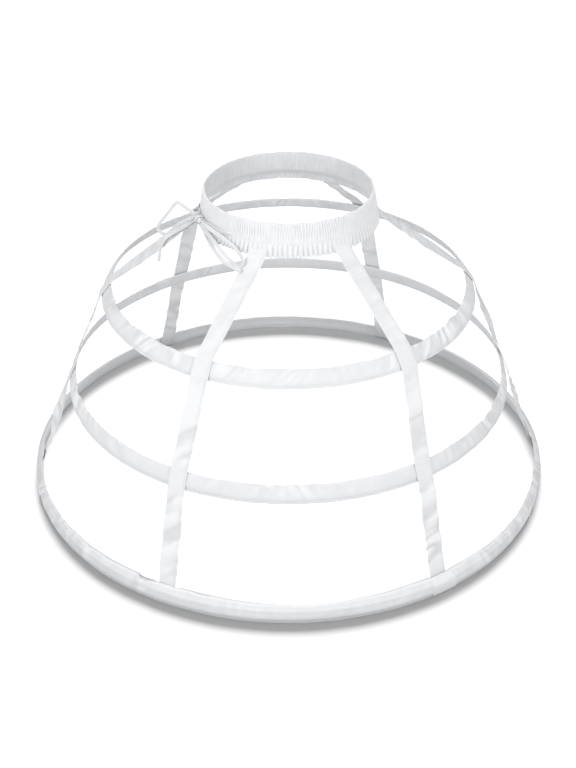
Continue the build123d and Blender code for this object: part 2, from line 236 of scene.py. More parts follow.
# ---------------------------------------------------------------- settings
class CAGE_PG_cloth(bpy.types.PropertyGroup):
    """Colour and weave of the cotton, and how far it wrinkles."""
    colour: FloatVectorProperty(name="Cotton colour", description="Colour of the bleached cotton",
                                default=(0.862, 0.874, 0.892), size=3, min=0.0, max=1.0, subtype="COLOR")
    thread_pitch: FloatProperty(name="Thread pitch", description="Distance from thread to thread",
                                default=0.0006, min=0.0002, max=0.003, precision=5, unit="LENGTH")
    wrinkle_depth: FloatProperty(name="Wrinkle depth", description="How deep the deepest wrinkles are",
                                 default=0.0014, min=0.0, max=0.004, precision=5, unit="LENGTH")
    # Strength of the painted shade in folds, creases, seams and the band's inside.
    hollow_shade: FloatProperty(name="Shade in folds", description="How much darker a fold's bottom is",
                                default=0.28, min=0.0, max=1.0, subtype="FACTOR")


class CAGE_PG_band(bpy.types.PropertyGroup):
    """Folds of the waistband and its frill."""
    fold_count: IntProperty(name="Fine folds", description="Fine folds round the elastic", default=206,
                            min=20)
    frill_fold_count: IntProperty(name="Frill folds", description="Folds round the frill", default=116,
                                  min=10)
    ragged: FloatProperty(name="Ragged hem", description="How unevenly the frill's folds hang",
                          default=0.0034, min=0.0, max=0.008, precision=5, unit="LENGTH")


class CAGE_PG_cord(bpy.types.PropertyGroup):
    """The flat drawstring."""
    width: FloatProperty(name="Width", description="Width of the flat drawstring", default=0.0054,
                         min=0.001, max=0.01, precision=4, unit="LENGTH")
    thickness: FloatProperty(name="Thickness", description="Thickness of the flat drawstring",
                             default=0.0012, min=0.0004, max=0.005, precision=4, unit="LENGTH")


class CAGE_PG_stitch(bpy.types.PropertyGroup):
    """Machine stitches."""
    pitch: FloatProperty(name="Pitch", description="Distance from stitch to stitch", default=0.0032,
                         min=0.001, max=0.01, precision=4, unit="LENGTH")
    length: FloatProperty(name="Length", description="Length of thread that shows", default=0.0025,
                          min=0.0005, max=0.01, precision=4, unit="LENGTH")
    thread: FloatProperty(name="Thread", description="Thickness of the thread", default=0.0005,
                          min=0.0001, max=0.002, precision=5, unit="LENGTH")


class CAGE_PG_stage(bpy.types.PropertyGroup):
    """Camera, lights and floor."""
    camera_place: FloatVectorProperty(name="Camera place", description="Where the camera stands",
                                      default=(0.0, -1.67906, 1.215), size=3, subtype="TRANSLATION",
                                      unit="LENGTH")
    camera_pitch: FloatProperty(name="Camera pitch", description="How far the camera looks down",
                                default=math.radians(33.04), subtype="ANGLE", unit="ROTATION")
    camera_lens: FloatProperty(name="Lens", description="Focal length in millimetres", default=64.71,
                               min=10.0)
    camera_shift: FloatProperty(name="Camera shift", description="How far the picture is shifted sideways",
                                default=-0.0008, precision=5)
    back_strength: FloatProperty(name="Back light", description="Strength of the broad light from behind",
                                 default=5.2, min=0.0)
    left_power: FloatProperty(name="Left light", description="Power of the light in front on the left",
                              default=20.9, min=0.0, unit="POWER")
    right_power: FloatProperty(name="Right light", description="Power of the light in front on the right",
                               default=21.4, min=0.0, unit="POWER")
    low_power: FloatProperty(name="Low light", description="Power of the low light on the bottom hoop",
                             default=4.2, min=0.0, unit="POWER")
    side_power: FloatProperty(name="Side light", description="Power of the light on the left side",
                              default=4.0, min=0.0, unit="POWER")
    behind_power: FloatProperty(name="Behind light", description="Power of the light on the cage's back",
                                default=12.0, min=0.0, unit="POWER")
    top_strength: FloatProperty(name="Top light", description="Strength of the broad light from above",
                                default=0.45, min=0.0)
    room_light: FloatProperty(name="Room light", description="Brightness of the pale room", default=0.32,
                              min=0.0)
    floor_colour: FloatVectorProperty(name="Floor colour", description="Colour of the floor as it is seen",
                                      default=(0.93, 0.93, 0.93), size=3, min=0.0, max=1.0, subtype="COLOR")
    floor_bounce: FloatProperty(name="Floor bounce", description="Share of light the floor throws back up",
                                default=0.54, min=0.0, max=1.0, subtype="FACTOR")


class CAGE_PG_settings(bpy.types.PropertyGroup):
    """Everything that a user would change."""
    cloth: PointerProperty(type=CAGE_PG_cloth, name="Cloth", description="Cotton cloth")
    band: PointerProperty(type=CAGE_PG_band, name="Band", description="Waistband")
    cord: PointerProperty(type=CAGE_PG_cord, name="Cord", description="Drawstring and bow")
    stitch: PointerProperty(type=CAGE_PG_stitch, name="Stitches", description="Stitches")
    stage: PointerProperty(type=CAGE_PG_stage, name="Stage", description="Camera, lights and floor")


# ---------------------------------------------------------------- numbers
def noise(x, y, period, seed):
    """Smooth noise from -1 to 1: a random number at each whole-number corner, blended between corners by
    3 t squared less 2 t cubed. It repeats along x after `period` cells, and along y after 97."""
    table = np.random.default_rng(seed).uniform(-1.0, 1.0, (period, 97))
    x, y = np.broadcast_arrays(np.asarray(x, float), np.asarray(y, float))
    column, row = np.floor(x).astype(int), np.floor(y).astype(int)
    tx, ty = x - column, y - row
    tx, ty = tx * tx * (3 - 2 * tx), ty * ty * (3 - 2 * ty)
    near, far = column % period, (column + 1) % period
    low, high = row % 97, (row + 1) % 97
    lower = table[near, low] * (1 - tx) + table[far, low] * tx
    upper = table[near, high] * (1 - tx) + table[far, high] * tx
    return lower * (1 - ty) + upper * ty


def crease(value):
    """Soft swell with a sharp crease where a noise crosses zero: the noise's size, rounded in the crease."""
    return np.sqrt(value * value + 0.005) - 0.36


def unit(vectors):
    """Vectors divided by their lengths."""
    return vectors / np.maximum(np.linalg.norm(vectors, axis=-1, keepdims=True), 1e-12)


def polar(radius, angle, height):
    """Points at a radius and an angle round the cage's axis."""
    angle = np.radians(angle)
    return np.stack(np.broadcast_arrays(radius * np.cos(angle), radius * np.sin(angle), height), axis=-1)


def bell(value, reach):
    """1 at nothing, falling as e to the minus square of the value in reaches."""
    return np.exp(-(value / reach) ** 2)


def angle_between(angle, centre):
    """Signed degrees from one angle to another, the short way round."""
    return (np.asarray(angle) - centre + 180.0) % 360.0 - 180.0


def near_angle(angle, centre, reach):
    """Bell round an angle: e to the minus square of the angle between, in reaches."""
    return bell(angle_between(angle, centre), reach)


def smooth_step(value, low, high):
    """0 below low, 1 above high, and 3 t squared less 2 t cubed between."""
    t = np.clip((value - low) / (high - low), 0.0, 1.0)
    return t * t * (3 - 2 * t)


def squared_wave(wave, power):
    """A sine or cosine made squarer: its size to a power below 1, with its own sign."""
    return np.sign(wave) * np.abs(wave) ** power


def closed_loop(face):
    """Place, half thickness and side of each point once round a thin section, from a table of one face."""
    face = np.array(face)
    inner = face[1:-1][::-1]
    place = np.concatenate([face[:, 0], inner[:, 0]])
    half = np.concatenate([face[:, 1], inner[:, 1]])
    side = np.concatenate([np.ones(len(face)), -np.ones(len(inner))])
    return place, half, side


# ---------------------------------------------------------------- meshes
def fill_mesh(name, points, corners, counts, uv, material, hollow=None):
    """Object whose smooth mesh has these points in millimetres, faces of `counts` corners each, UVs in metres
    per corner, and how much painted shade each point gets."""
    mesh = bpy.data.meshes.new(name)
    points = np.asarray(points, float).reshape(-1, 3) * MM
    starts = np.concatenate([[0], np.cumsum(counts)[:-1]])
    mesh.vertices.add(len(points))
    mesh.vertices.foreach_set("co", points.ravel())
    mesh.loops.add(len(corners))
    mesh.loops.foreach_set("vertex_index", corners)
    mesh.polygons.add(len(counts))
    mesh.polygons.foreach_set("loop_start", starts)
    mesh.polygons.foreach_set("use_smooth", np.full(len(counts), True))
    mesh.update(calc_edges=True)
    layer = mesh.uv_layers.new(name="cloth")
    layer.data.foreach_set("uv", np.asarray(uv, float).ravel())
    # Painted shade: how much the cotton's colour is darkened at each point.
    shade = mesh.attributes.new("hollow", "FLOAT", "POINT")
    if hollow is None:
        hollow = np.zeros(len(points))
    shade.data.foreach_set("value", np.clip(np.asarray(hollow, float).ravel(), 0.0, 1.0))
    mesh.validate()
    mesh.materials.append(material)
    piece = bpy.data.objects.new(name, mesh)
    bpy.context.scene.collection.objects.link(piece)
    return piece


def grid_faces(columns, rows, ring):
    """Corners of the quads of a grid that is closed along its rows, and along its columns for a ring, with
    both ends of an open one closed by a flat face; and each corner's column and row, counted on past a
    full turn."""
    last = columns if ring else columns - 1
    i, j = np.meshgrid(np.arange(last), np.arange(rows), indexing="ij")
    i, j = i.ravel(), j.ravel()
    at_i = np.stack([i, i + 1, i + 1, i], axis=1)
    at_j = np.stack([j, j, j + 1, j + 1], axis=1)
    corners = (at_i % columns) * rows + at_j % rows
    counts = np.full(len(corners), 4)
    corners, at_i, at_j = corners.ravel(), at_i.ravel(), at_j.ravel()
    if not ring:
        caps = np.concatenate([np.arange(rows)[::-1], (columns - 1) * rows + np.arange(rows)])
        corners = np.concatenate([corners, caps])
        counts = np.concatenate([counts, [rows, rows]])
        at_i = np.concatenate([at_i, np.zeros(rows, int), np.full(rows, columns - 1)])
        at_j = np.concatenate([at_j, np.arange(rows)[::-1], np.arange(rows)])
    return corners, counts, at_i, at_j


def turned_inside_out(points, corners, counts):
    """Whether a closed grid's quads enclose a volume below nothing."""
    flat = points.reshape(-1, 3)
    quads = corners[: 4 * int(np.sum(counts == 4))].reshape(-1, 4)
    a, b, c, d = (flat[quads[:, k]] for k in range(4))
    centre = flat.mean(axis=0)
    volume = np.einsum("ij,ij->i", a - centre, np.cross(b - centre, c - centre))
    volume += np.einsum("ij,ij->i", a - centre, np.cross(c - centre, d - centre))
    return volume.sum() < 0


def faced_outwards(points, corners, counts, at_i, at_j):
    """Corners with their columns and rows, each face's order reversed where the grid is inside out."""
    if not turned_inside_out(points, corners, counts):
        return corners, at_i, at_j
    ends = np.cumsum(counts)
    order = np.repeat(2 * ends - counts - 1, counts) - np.arange(len(corners))
    return corners[order], at_i[order], at_j[order]


def grid_piece(name, points, ring, across, along, material, hollow=None):
    """Closed piece from a grid of points [column, row] whose rows run once round its section. `along` and
    `across` give each column's and row's place on the cloth in millimetres."""
    columns, rows = points.shape[:2]
    corners, counts, at_i, at_j = grid_faces(columns, rows, ring)
    corners, at_i, at_j = faced_outwards(points, corners, counts, at_i, at_j)
    along = np.append(along, 2 * along[-1] - along[-2])
    across = np.append(across, 2 * across[-1] - across[-2])
    uv = np.stack([along[at_i], across[at_j]], axis=1) * MM
    return fill_mesh(name, points, corners, counts, uv, material, hollow)


def place_piece(piece, slot, *nodes):
    """Carry a piece on the cage's one body and hide the CAD nodes it stands for; `slot` is not used."""
    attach(piece, "root")
    if nodes:
        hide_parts(*nodes)
    return piece


# ---------------------------------------------------------------- materials
def new_node(tree, kind, inputs=None, **settings):
    """Node of a kind with its settings, and numbers or links for its inputs."""
    node = tree.nodes.new(kind)
    for key, value in settings.items():
        setattr(node, key, value)
    for key, value in (inputs or {}).items():
        if isinstance(value, bpy.types.NodeSocket):
            tree.links.new(value, node.inputs[key])
        else:
            node.inputs[key].default_value = value
    return node


def math_node(tree, operation, first, second=None, clamp=False):
    """Output of a Math node."""
    inputs = {0: first} if second is None else {0: first, 1: second}
    return new_node(tree, "ShaderNodeMath", inputs, operation=operation, use_clamp=clamp).outputs[0]


def mottle(tree, place, scale, detail=2.0):
    """Output of a Noise Texture at this place."""
    inputs = {"Vector": place, "Scale": scale, "Detail": detail}
    return new_node(tree, "ShaderNodeTexNoise", inputs).outputs[0]


def mix_colours(tree, share, low, high):
    """Colour between two, by a share from 0 to 1."""
    return new_node(tree, "ShaderNodeMix", {0: share, 6: low, 7: high}, data_type="RGBA").outputs[2]


def object_place(tree):
    """Place on the object, in metres."""
    return new_node(tree, "ShaderNodeTexCoord").outputs["Object"]


def cloth_place(tree):
    """Place on the piece's own cloth map, in metres."""
    return new_node(tree, "ShaderNodeUVMap", uv_map="cloth").outputs[0]


def shader_group(name, inputs, outputs):
    """New shader node group with these float, vector or colour sockets, and its inner sockets in and out."""
    group = bpy.data.node_groups.new(name, "ShaderNodeTree")
    for socket, kind, default in inputs:
        made = group.interface.new_socket(socket, in_out="INPUT", socket_type=kind)
        if default is not None:
            made.default_value = default
    for socket, kind in outputs:
        group.interface.new_socket(socket, in_out="OUTPUT", socket_type=kind)
    return group, group.nodes.new("NodeGroupInput").outputs, group.nodes.new("NodeGroupOutput").inputs


def plain_weave_group():
    """Plain weave: the height is the sine of the way along times the sine of the way across, in threads,
    with slubs where slow noise thickens a thread."""
    group, given, result = shader_group(
        "plain_weave", [("Cloth", "NodeSocketVector", None), ("Threads", "NodeSocketFloat", 1600.0)],
        [("Height", "NodeSocketFloat"), ("Slub", "NodeSocketFloat")])
    threads = new_node(group, "ShaderNodeVectorMath", {0: given["Cloth"], "Scale": given["Threads"]},
                       operation="SCALE").outputs[0]
    apart = new_node(group, "ShaderNodeSeparateXYZ", {0: threads})
    waves = [math_node(group, "SINE", math_node(group, "MULTIPLY", apart.outputs[k], math.pi))
             for k in (0, 1)]
    weave = math_node(group, "MULTIPLY", waves[0], waves[1])
    streaks = new_node(group, "ShaderNodeVectorMath", {0: threads, 1: (0.04, 1.0, 1.0)},
                       operation="MULTIPLY").outputs[0]
    slub = mottle(group, streaks, 0.5, 1.0)
    height = math_node(group, "ADD", math_node(group, "MULTIPLY", weave, 0.5), slub)
    group.links.new(height, result["Height"])
    group.links.new(slub, result["Slub"])
    return group


def cotton_mottle_and_shade_group():
    """Cotton's colour: the base colour, darkened towards a cool grey as painted shade, and mottled by two
    sizes of noise.
    """
    group, given, result = shader_group(
        "washed_cotton",
        [("Colour", "NodeSocketColor", (0.86, 0.86, 0.855, 1.0)), ("Hollow", "NodeSocketFloat", 0.0),
         ("Hollow Shade", "NodeSocketFloat", 0.16), ("Slub", "NodeSocketFloat", 0.5),
         ("Place", "NodeSocketVector", None)],
        [("Colour", "NodeSocketColor"), ("Roughness", "NodeSocketFloat")])
    cloud = mottle(group, given["Place"], 22.0)
    grain = mottle(group, given["Place"], 260.0, 1.0)
    # Painted shade: the point's shade amount times its strength darkens the colour; the cloud, grain and slub
    # added next are the cotton's own mottle.
    shade = math_node(group, "MULTIPLY", given["Hollow"], given["Hollow Shade"])
    shade = math_node(group, "ADD", shade, math_node(group, "MULTIPLY", cloud, 0.05))
    shade = math_node(group, "ADD", shade, math_node(group, "MULTIPLY", grain, 0.03))
    shade = math_node(group, "ADD", shade, math_node(group, "MULTIPLY", given["Slub"], 0.03), clamp=True)
    # The colour goes towards this cool grey as the painted shade and the mottle add up.
    group.links.new(mix_colours(group, shade, given["Colour"], (0.35, 0.355, 0.37, 1.0)), result["Colour"])
    rough = math_node(group, "ADD", math_node(group, "MULTIPLY", grain, 0.12), 0.78)
    group.links.new(rough, result["Roughness"])
    return group


def shared_group(name, build):
    """Node group of this name, built the first time it is asked for."""
    return bpy.data.node_groups.get(name) or build()


def blank_material(name):
    """New material of this name, and its tree with nothing in it."""
    material = bpy.data.materials.new(name)
    material.use_nodes = True
    material.node_tree.nodes.clear()
    return material, material.node_tree


def finish_material(material, tree, inputs, height=None, depth=0.0):
    """Give a material its Principled shader, with a bump of a depth in metres where a height is given."""
    shader = new_node(tree, "ShaderNodeBsdfPrincipled", inputs)
    if height is not None:
        bump = new_node(tree, "ShaderNodeBump", {"Strength": 1.0, "Distance": depth, "Height": height})
        tree.links.new(bump.outputs[0], shader.inputs["Normal"])
    output = tree.nodes.new("ShaderNodeOutputMaterial")
    tree.links.new(shader.outputs[0], output.inputs[0])
    return material


def washed_cotton(tree, brighter=1.0):
    """The shared cotton mottle and painted shade placed in a material, its colour the cotton's times
    `brighter`.
    """
    colour = bpy.context.scene.crinoline_cage.cloth.colour
    placed = new_node(tree, "ShaderNodeGroup", node_tree=shared_group("washed_cotton", cotton_mottle_and_shade_group))
    placed.inputs["Colour"].default_value = tuple(brighter * part for part in colour) + (1.0,)
    tree.links.new(object_place(tree), placed.inputs["Place"])
    return placed


def cloth_inputs(mottle_and_shade, shine):
    """Principled inputs of matt cloth with a little sheen, from its placed colour group."""
    return {"Base Color": mottle_and_shade.outputs["Colour"], "Roughness": mottle_and_shade.outputs["Roughness"],
            "Sheen Weight": 0.12, "Sheen Roughness": 0.5, "Specular IOR Level": shine}


def cotton(name, threads=1.0, depth=0.00012):
    """Woven cotton on the piece's own cloth map, made once for each name."""
    made = bpy.data.materials.get(name)
    if made:
        return made
    cloth = bpy.context.scene.crinoline_cage.cloth
    material, tree = blank_material(name)
    # Painted shade: each point's shade amount, read from the mesh, with its strength, goes into the cotton
    # colour group.
    hollow = new_node(tree, "ShaderNodeAttribute", attribute_name="hollow").outputs["Fac"]
    weave = new_node(tree, "ShaderNodeGroup", node_tree=shared_group("plain_weave", plain_weave_group))
    tree.links.new(cloth_place(tree), weave.inputs["Cloth"])
    weave.inputs["Threads"].default_value = threads / cloth.thread_pitch
    mottle_and_shade = washed_cotton(tree)
    mottle_and_shade.inputs["Hollow Shade"].default_value = cloth.hollow_shade
    tree.links.new(hollow, mottle_and_shade.inputs["Hollow"])
    tree.links.new(weave.outputs["Slub"], mottle_and_shade.inputs["Slub"])
    return finish_material(material, tree, cloth_inputs(mottle_and_shade, 0.2), weave.outputs["Height"], depth)


def braid():
    """Flat braid: chevrons that meet along its middle, a sine of the way along plus the way out from it."""
    made = bpy.data.materials.get("flat_braid")
    if made:
        return made
    material, tree = blank_material("flat_braid")
    apart = new_node(tree, "ShaderNodeSeparateXYZ", {0: cloth_place(tree)})
    slant = math_node(tree, "ADD", apart.outputs[0], math_node(tree, "ABSOLUTE", apart.outputs[1]))
    wave = math_node(tree, "SINE", math_node(tree, "MULTIPLY", slant, 2 * math.pi / 0.0011))
    # The braid's colour is the cotton's made 6% brighter: painted light that lifts the bow out of the band's
    # shade.
    return finish_material(material, tree, cloth_inputs(washed_cotton(tree, 1.06), 0.25), wave, 0.00015)


def thread():
    """Polished sewing thread, a little brighter than the cloth."""
    made = bpy.data.materials.get("sewing_thread")
    if made:
        return made
    material, tree = blank_material("sewing_thread")
    twist = mottle(tree, object_place(tree), 900.0)
    colour = mix_colours(tree, twist, (0.8, 0.8, 0.79, 1.0), (0.9, 0.9, 0.89, 1.0))
    return finish_material(material, tree, {"Base Color": colour, "Roughness": 0.55}, twist, 0.0001)


# ---------------------------------------------------------------- casings
def tape_angle(name, level):
    """Angle of a tape at the waist (0) or at the top (1), middle (2) or bottom (3) hoop."""
    stray = TAPE_STRAY.get(name, (0.0, 0.0, 0.0, 0.0))[level]
    return TAPE_START_ANGLE + 360.0 / len(TAPE_NAMES) * TAPE_NAMES.index(name) + stray


def tapes_cover(angle, level, full, gone):
    """1 within `full` degrees of a tape's middle line at a level, falling to 0 at `gone` degrees."""
    cover = 0.0
    for name in TAPE_NAMES:
        between = np.abs(angle_between(angle, tape_angle(name, level)))
        cover = np.maximum(cover, 1.0 - smooth_step(between, full, gone))
    return cover


def under_tapes(hoop, angle):
    """1 where a tape lies on a casing, falling to 0 beside it."""
    level = {"top": 1, "middle": 2, "bottom": 3}[hoop]
    reach = math.degrees(TAPE_HALF_WIDTH / HOOPS[hoop]["radius"])
    return tapes_cover(angle, level, 1.05 * reach, 1.75 * reach)


def casing_wrinkles(hoop, angle, b):
    """Wrinkles that run across a casing: creases of noise in cells 11.5 by 22 mm and 6 by 12 mm, deeper near
    its top edge and where the cloth is bunched, laid flat under each tape. Gives their height, and how
    bunched the cloth is."""
    facts = HOOPS[hoop]
    length = 2 * math.pi * facts["radius"]
    turn = (np.asarray(angle) % 360.0) / 360.0
    wide, fine = int(length / 11.5), int(length / 6.0)
    seed = facts["seed"]
    lean = 1.1 * noise(turn * 40, 0.0, 40, seed + 5)
    big = crease(noise(turn * wide + lean * b / 11.5, b / 22.0 + 9.0, wide, seed))
    small = crease(noise(turn * fine + 0.4 * lean * b / 6.0, b / 12.0 + 5.0, fine, seed + 1))
    bunch = 0.2 + sum(weight * near_angle(angle, at, reach) for at, reach, weight in BUNCHING[hoop])
    bunch = np.minimum(bunch, 1.1) * (0.75 + 0.5 * noise(turn * 60, 1.0, 60, seed + 2))
    bunch = bunch * (1.0 - 0.9 * under_tapes(hoop, angle))
    deeper = 0.8 + 0.45 * np.clip(b / CASING_HALF_WIDTH, -1.0, 1.0)
    return deeper * bunch * (2.4 * big + 1.0 * small), bunch


def leaning_in(hoop, angle, b):
    """How far the loose upper cloth of a casing leans in over its bone, growing as the power 1.6 of the
    height. Only the bottom casing's does."""
    if hoop != "bottom":
        return 0.0
    reach = EDGE_LEANS_IN + sum(extra * near_angle(angle, at, wide) for at, wide, extra in EDGE_LEANS_MORE)
    reach = reach + (EDGE_LEANS_IN_UNDER_TAPE - reach) * under_tapes(hoop, angle)
    return reach * (np.maximum(b + 4.0, 0.0) / (CASING_HALF_WIDTH + 4.0)) ** 1.6


def bone_holds(hoop, angle, up):
    """How far from its middle line a casing's cloth is kept by the bone or ferrule, less past their edges."""
    facts = HOOPS[hoop]
    reach = math.degrees(FERRULE_REACH / facts["radius"])
    held = BONE_HOLDS + FERRULE_ADDS * near_angle(angle, facts["join"], reach)
    return held - 1.7 * np.maximum(np.abs(up) - BONE_EDGE, 0.0)


def casing_point(hoop, angle, b, half, side):
    """Point of a casing's skin. It starts on the casing's middle line, goes b up the leaning casing and half
    its thickness out, is moved by the wrinkles, a slow wander of the cloth and its wavy edges, and is kept
    outside its bone: the larger of the two, rounded where they meet on the bottom casing."""
    facts = HOOPS[hoop]
    lean = math.radians(facts["lean"])
    turn = (np.asarray(angle) % 360.0) / 360.0
    depth = bpy.context.scene.crinoline_cage.cloth.wrinkle_depth / MM
    wrinkle, bunch = casing_wrinkles(hoop, angle, b)
    free = 1.0 - under_tapes(hoop, angle)
    seed = facts["seed"]
    wander = (0.15 + 0.5 * free) * noise(turn * 36, b / 30.0 + 3.0, 36, seed + 3)
    body = 1.0 - (np.abs(b) / CASING_HALF_WIDTH) ** 4 * 0.35
    puff = np.clip(1.0 + 0.22 * wrinkle, 0.6, 1.04)
    out = side * half * puff + depth * wrinkle * body * (0.75 + 0.25 * side) + wander
    out = np.minimum(out, 2.25 + 0.25 * (side > 0) * (1 - body) + 2.2 * free)
    edge = (0.4 + 1.7 * bunch) * noise(turn * 110, 0.5, 110, seed + 4) - 1.0 * np.maximum(wrinkle, 0.0)
    if hoop == "bottom":
        start, deep, still_deep, end = NOTCH_ANGLES
        notch = NOTCH_DEPTH * smooth_step(angle, start, deep) * (1.0 - smooth_step(angle, still_deep, end))
        edge = edge - notch
    up = b + edge * np.maximum(b, 0.0) / CASING_HALF_WIDTH
    hem = (0.2 + (0.4 if hoop == "bottom" else 1.6) * bunch) * np.abs(noise(turn * 90, 2.5, 90, seed + 6))
    up = up + hem * np.maximum(-b, 0.0) / CASING_HALF_WIDTH
    out = out - leaning_in(hoop, angle, b)
    held = bone_holds(hoop, angle, up) + 0.4 * depth * np.maximum(wrinkle, 0.0)
    rounding = EDGE_ROUNDING if hoop == "bottom" else 0.0
    out = side * 0.5 * (side * out + held + np.sqrt((side * out - held) ** 2 + rounding ** 2))
    radius = facts["radius"] + out * math.cos(lean) - up * math.sin(lean)
    height = facts["height"] + out * math.sin(lean) + up * math.cos(lean)
    return polar(radius, angle, height), wrinkle


def casing_piece(hoop):
    """Flat tube of cloth round a hoop: the skin's point for each angle and each place round its section."""
    facts = HOOPS[hoop]
    place, half, side = closed_loop(CASING_FACE)
    angle = np.arange(facts["columns"]) * 360.0 / facts["columns"]
    points, wrinkle = casing_point(hoop, angle[:, None], place[None, :], half[None, :], side[None, :])
    # Painted shade: 0.55 all over, more in the wrinkles' creases and along the lip's stitched groove, less on
    # their crests; left off the bottom casing's inner face and top edge, which read lighter.
    seam = bell(place - LIP_STITCH_HEIGHT, 0.7)[None, :]
    base = np.where((hoop == "bottom") & ((side < 0) | (place > 11.0)), 0.0, 0.55)[None, :]
    hollow = base - 0.8 * wrinkle + 0.6 * seam
    along = np.radians(angle) * facts["radius"]
    across = np.where(side > 0, -place, place + 4 * CASING_HALF_WIDTH)
    piece = grid_piece(f"{hoop}_hoop_casing_cloth", points, True, across, along, cotton("casing_cotton"),
                       hollow)
    place_piece(piece, "cotton_casing", f"{hoop}_hoop_casing")


def lap_piece():
    """Closing lap of the bottom casing: a patch with rounded top corners that hugs the casing's outer face
    and turns over its top edge. Its points run over angle and height, on the casing's face less its wrinkles,
    with a ripple of noise and a fold of two bells beside its right edge."""
    facts = HOOPS["bottom"]
    centre = tape_angle("front_right", 3) + 0.3
    angle = centre + np.linspace(-LAP_HALF_REACH, LAP_HALF_REACH, LAP_COLUMNS)
    place, skin = np.array(LAP_FACE).T
    corner = np.clip((np.abs(angle - centre) - 2.35) / 0.6, 0.0, 1.0) ** 2
    up = place[None, :] - 3.2 * corner[:, None] * (place[None, :] > 5) * (place[None, :] - 5) / 7.75
    ripple = 0.16 * noise(np.arange(LAP_COLUMNS)[:, None] / 5.0, place[None, :] / 9.0 + 4, 31, 71)
    fold = 0.3 * bell(angle - centre - 2.35, 0.28) - 0.25 * bell(angle - centre - 1.95, 0.2)
    out = skin[None, :] - leaning_in("bottom", angle[:, None], place[None, :])
    out = np.maximum(out, 1.1 + bone_holds("bottom", angle[:, None], place[None, :]))
    out = out + ripple + fold[:, None]
    outer = polar(facts["radius"] + out, angle[:, None], facts["height"] + up)
    inner = polar(facts["radius"] + out - LAP_THICKNESS, angle[:, None], facts["height"] + up)
    points = np.concatenate([outer, inner[:, ::-1]], axis=1)
    across = np.concatenate([-place, place[::-1] + 30])
    # The lap gets an even painted shade of 0.25.
    piece = grid_piece("bottom_hoop_casing_lap", points, False, across, np.radians(angle) * facts["radius"],
                       cotton("casing_cotton"), np.full(points.shape[:2], 0.25))
    place_piece(piece, "cotton_casing")


# ---------------------------------------------------------------- tapes
def tape_track(name):
    """Middle line of a tape every millimetre: straight between its bends, then each point averaged with those
    within 7 mm, so that the bends are round. Gives the way along, the middle line, half its width as a
    vector, the way outwards, and how far along each bend is."""
    angle = [tape_angle(name, level) for level in (0, 0, 1, 1, 2, 2, 3, 3)]
    radius, height = np.array(TAPE_LINE).T
    centre = polar(radius, np.array(angle), height)
    half = polar(TAPE_HALF_WIDTH, np.array(angle) + 90.0, 0.0)
    steps = np.linalg.norm(np.diff(centre, axis=0), axis=1)
    stations = np.concatenate([[0.0], np.cumsum(steps)])
    along = np.arange(0.0, stations[-1] + 0.5, 1.0)
    weights = bell(np.arange(-7, 8), 3.2)
    weights = weights / weights.sum()

    def rounded(values):
        """Values at the bends, drawn straight between them and averaged; past its ends a line goes on as
        its own mirror."""
        lines = [np.interp(along, stations, values[:, k]) for k in range(3)]
        padded = [np.concatenate([2 * line[0] - line[7:0:-1], line, 2 * line[-1] - line[-2:-9:-1]])
                  for line in lines]
        return np.stack([np.convolve(line, weights, mode="valid") for line in padded], axis=1)

    middle, half = rounded(centre), rounded(half)
    way = unit(np.gradient(middle, axis=0))
    out = unit(np.cross(way, half))
    flip = np.sign(np.einsum("ij,ij->i", out, middle * (1, 1, 0)))[:, None]
    return along, middle, half, out * flip, stations


def tape_point(name, track, s, t, half_thick, side):
    """Point of a tape's skin: s along its track, t across it, half its thickness out, moved by creases of
    noise that slant across each bay, and by a sway, a tip and a twist of the whole tape. All of them fade
    where the tape is sewn."""
    along, middle, half, out, stations = track
    s, t = np.broadcast_arrays(s, t)

    def at(values):
        """Values of the track at s."""
        return np.stack([np.interp(s, along, values[:, k]) for k in range(3)], axis=-1)

    *depths, slant = TAPE_WRINKLES[name]
    slant = math.radians(slant)
    seed = 31 + TAPE_NAMES.index(name)
    way = s * math.cos(slant) + t * math.sin(slant)
    cross = t * math.cos(slant) - s * math.sin(slant)
    waver = 0.8 * noise(s / 40.0 + 3, t / 30.0 + 5, 61, seed + 20)
    big = crease(noise(way / 17.0 + 0.7 * waver + 20, cross / 52.0 + 30, 83, seed))
    small = crease(noise(way / 8.0 + 0.4 * waver + 20, cross / 26.0 + 30, 89, seed + 7))
    strength = np.zeros(s.shape)
    twist = np.zeros(s.shape)
    flat, full = TAPE_BAY_FADE
    for bay, (low, high) in enumerate(TAPE_BAYS):
        rise = smooth_step(s, stations[low] + flat, stations[low] + full)
        fall = 1.0 - smooth_step(s, stations[high] - full, stations[high] - flat)
        strength = strength + depths[bay] * rise * fall
        middle_of_bay = np.clip((s - stations[low]) / (stations[high] - stations[low]), 0.0, 1.0)
        twist = twist + TAPE_TWIST.get(name, (0.0, 0.0, 0.0))[bay] * np.sin(math.pi * middle_of_bay) ** 2
    depth = bpy.context.scene.crinoline_cage.cloth.wrinkle_depth / MM
    wrinkle = strength * (2.1 * big + 0.8 * small)
    sway = 1.6 * strength * noise(s / 55.0 + 7, 0.5, 61, seed + 3)
    tip = 1.5 * strength * noise(s / 38.0 + 2, 1.5, 61, seed + 4) * t / TAPE_HALF_WIDTH
    tip = tip + t * np.tan(np.radians(twist))
    lift = 0.5 - 2.4 * (1.0 - smooth_step(s, 0.0, 12.0))
    edge = 0.25 * noise(s / 13.0, 0.0, 83, seed + 5)
    reach = t / TAPE_HALF_WIDTH * (1.0 + edge / TAPE_HALF_WIDTH)
    rise = lift + side * half_thick + depth * wrinkle + sway + tip
    return at(middle) + at(half) * reach[..., None] + at(out) * rise[..., None], wrinkle


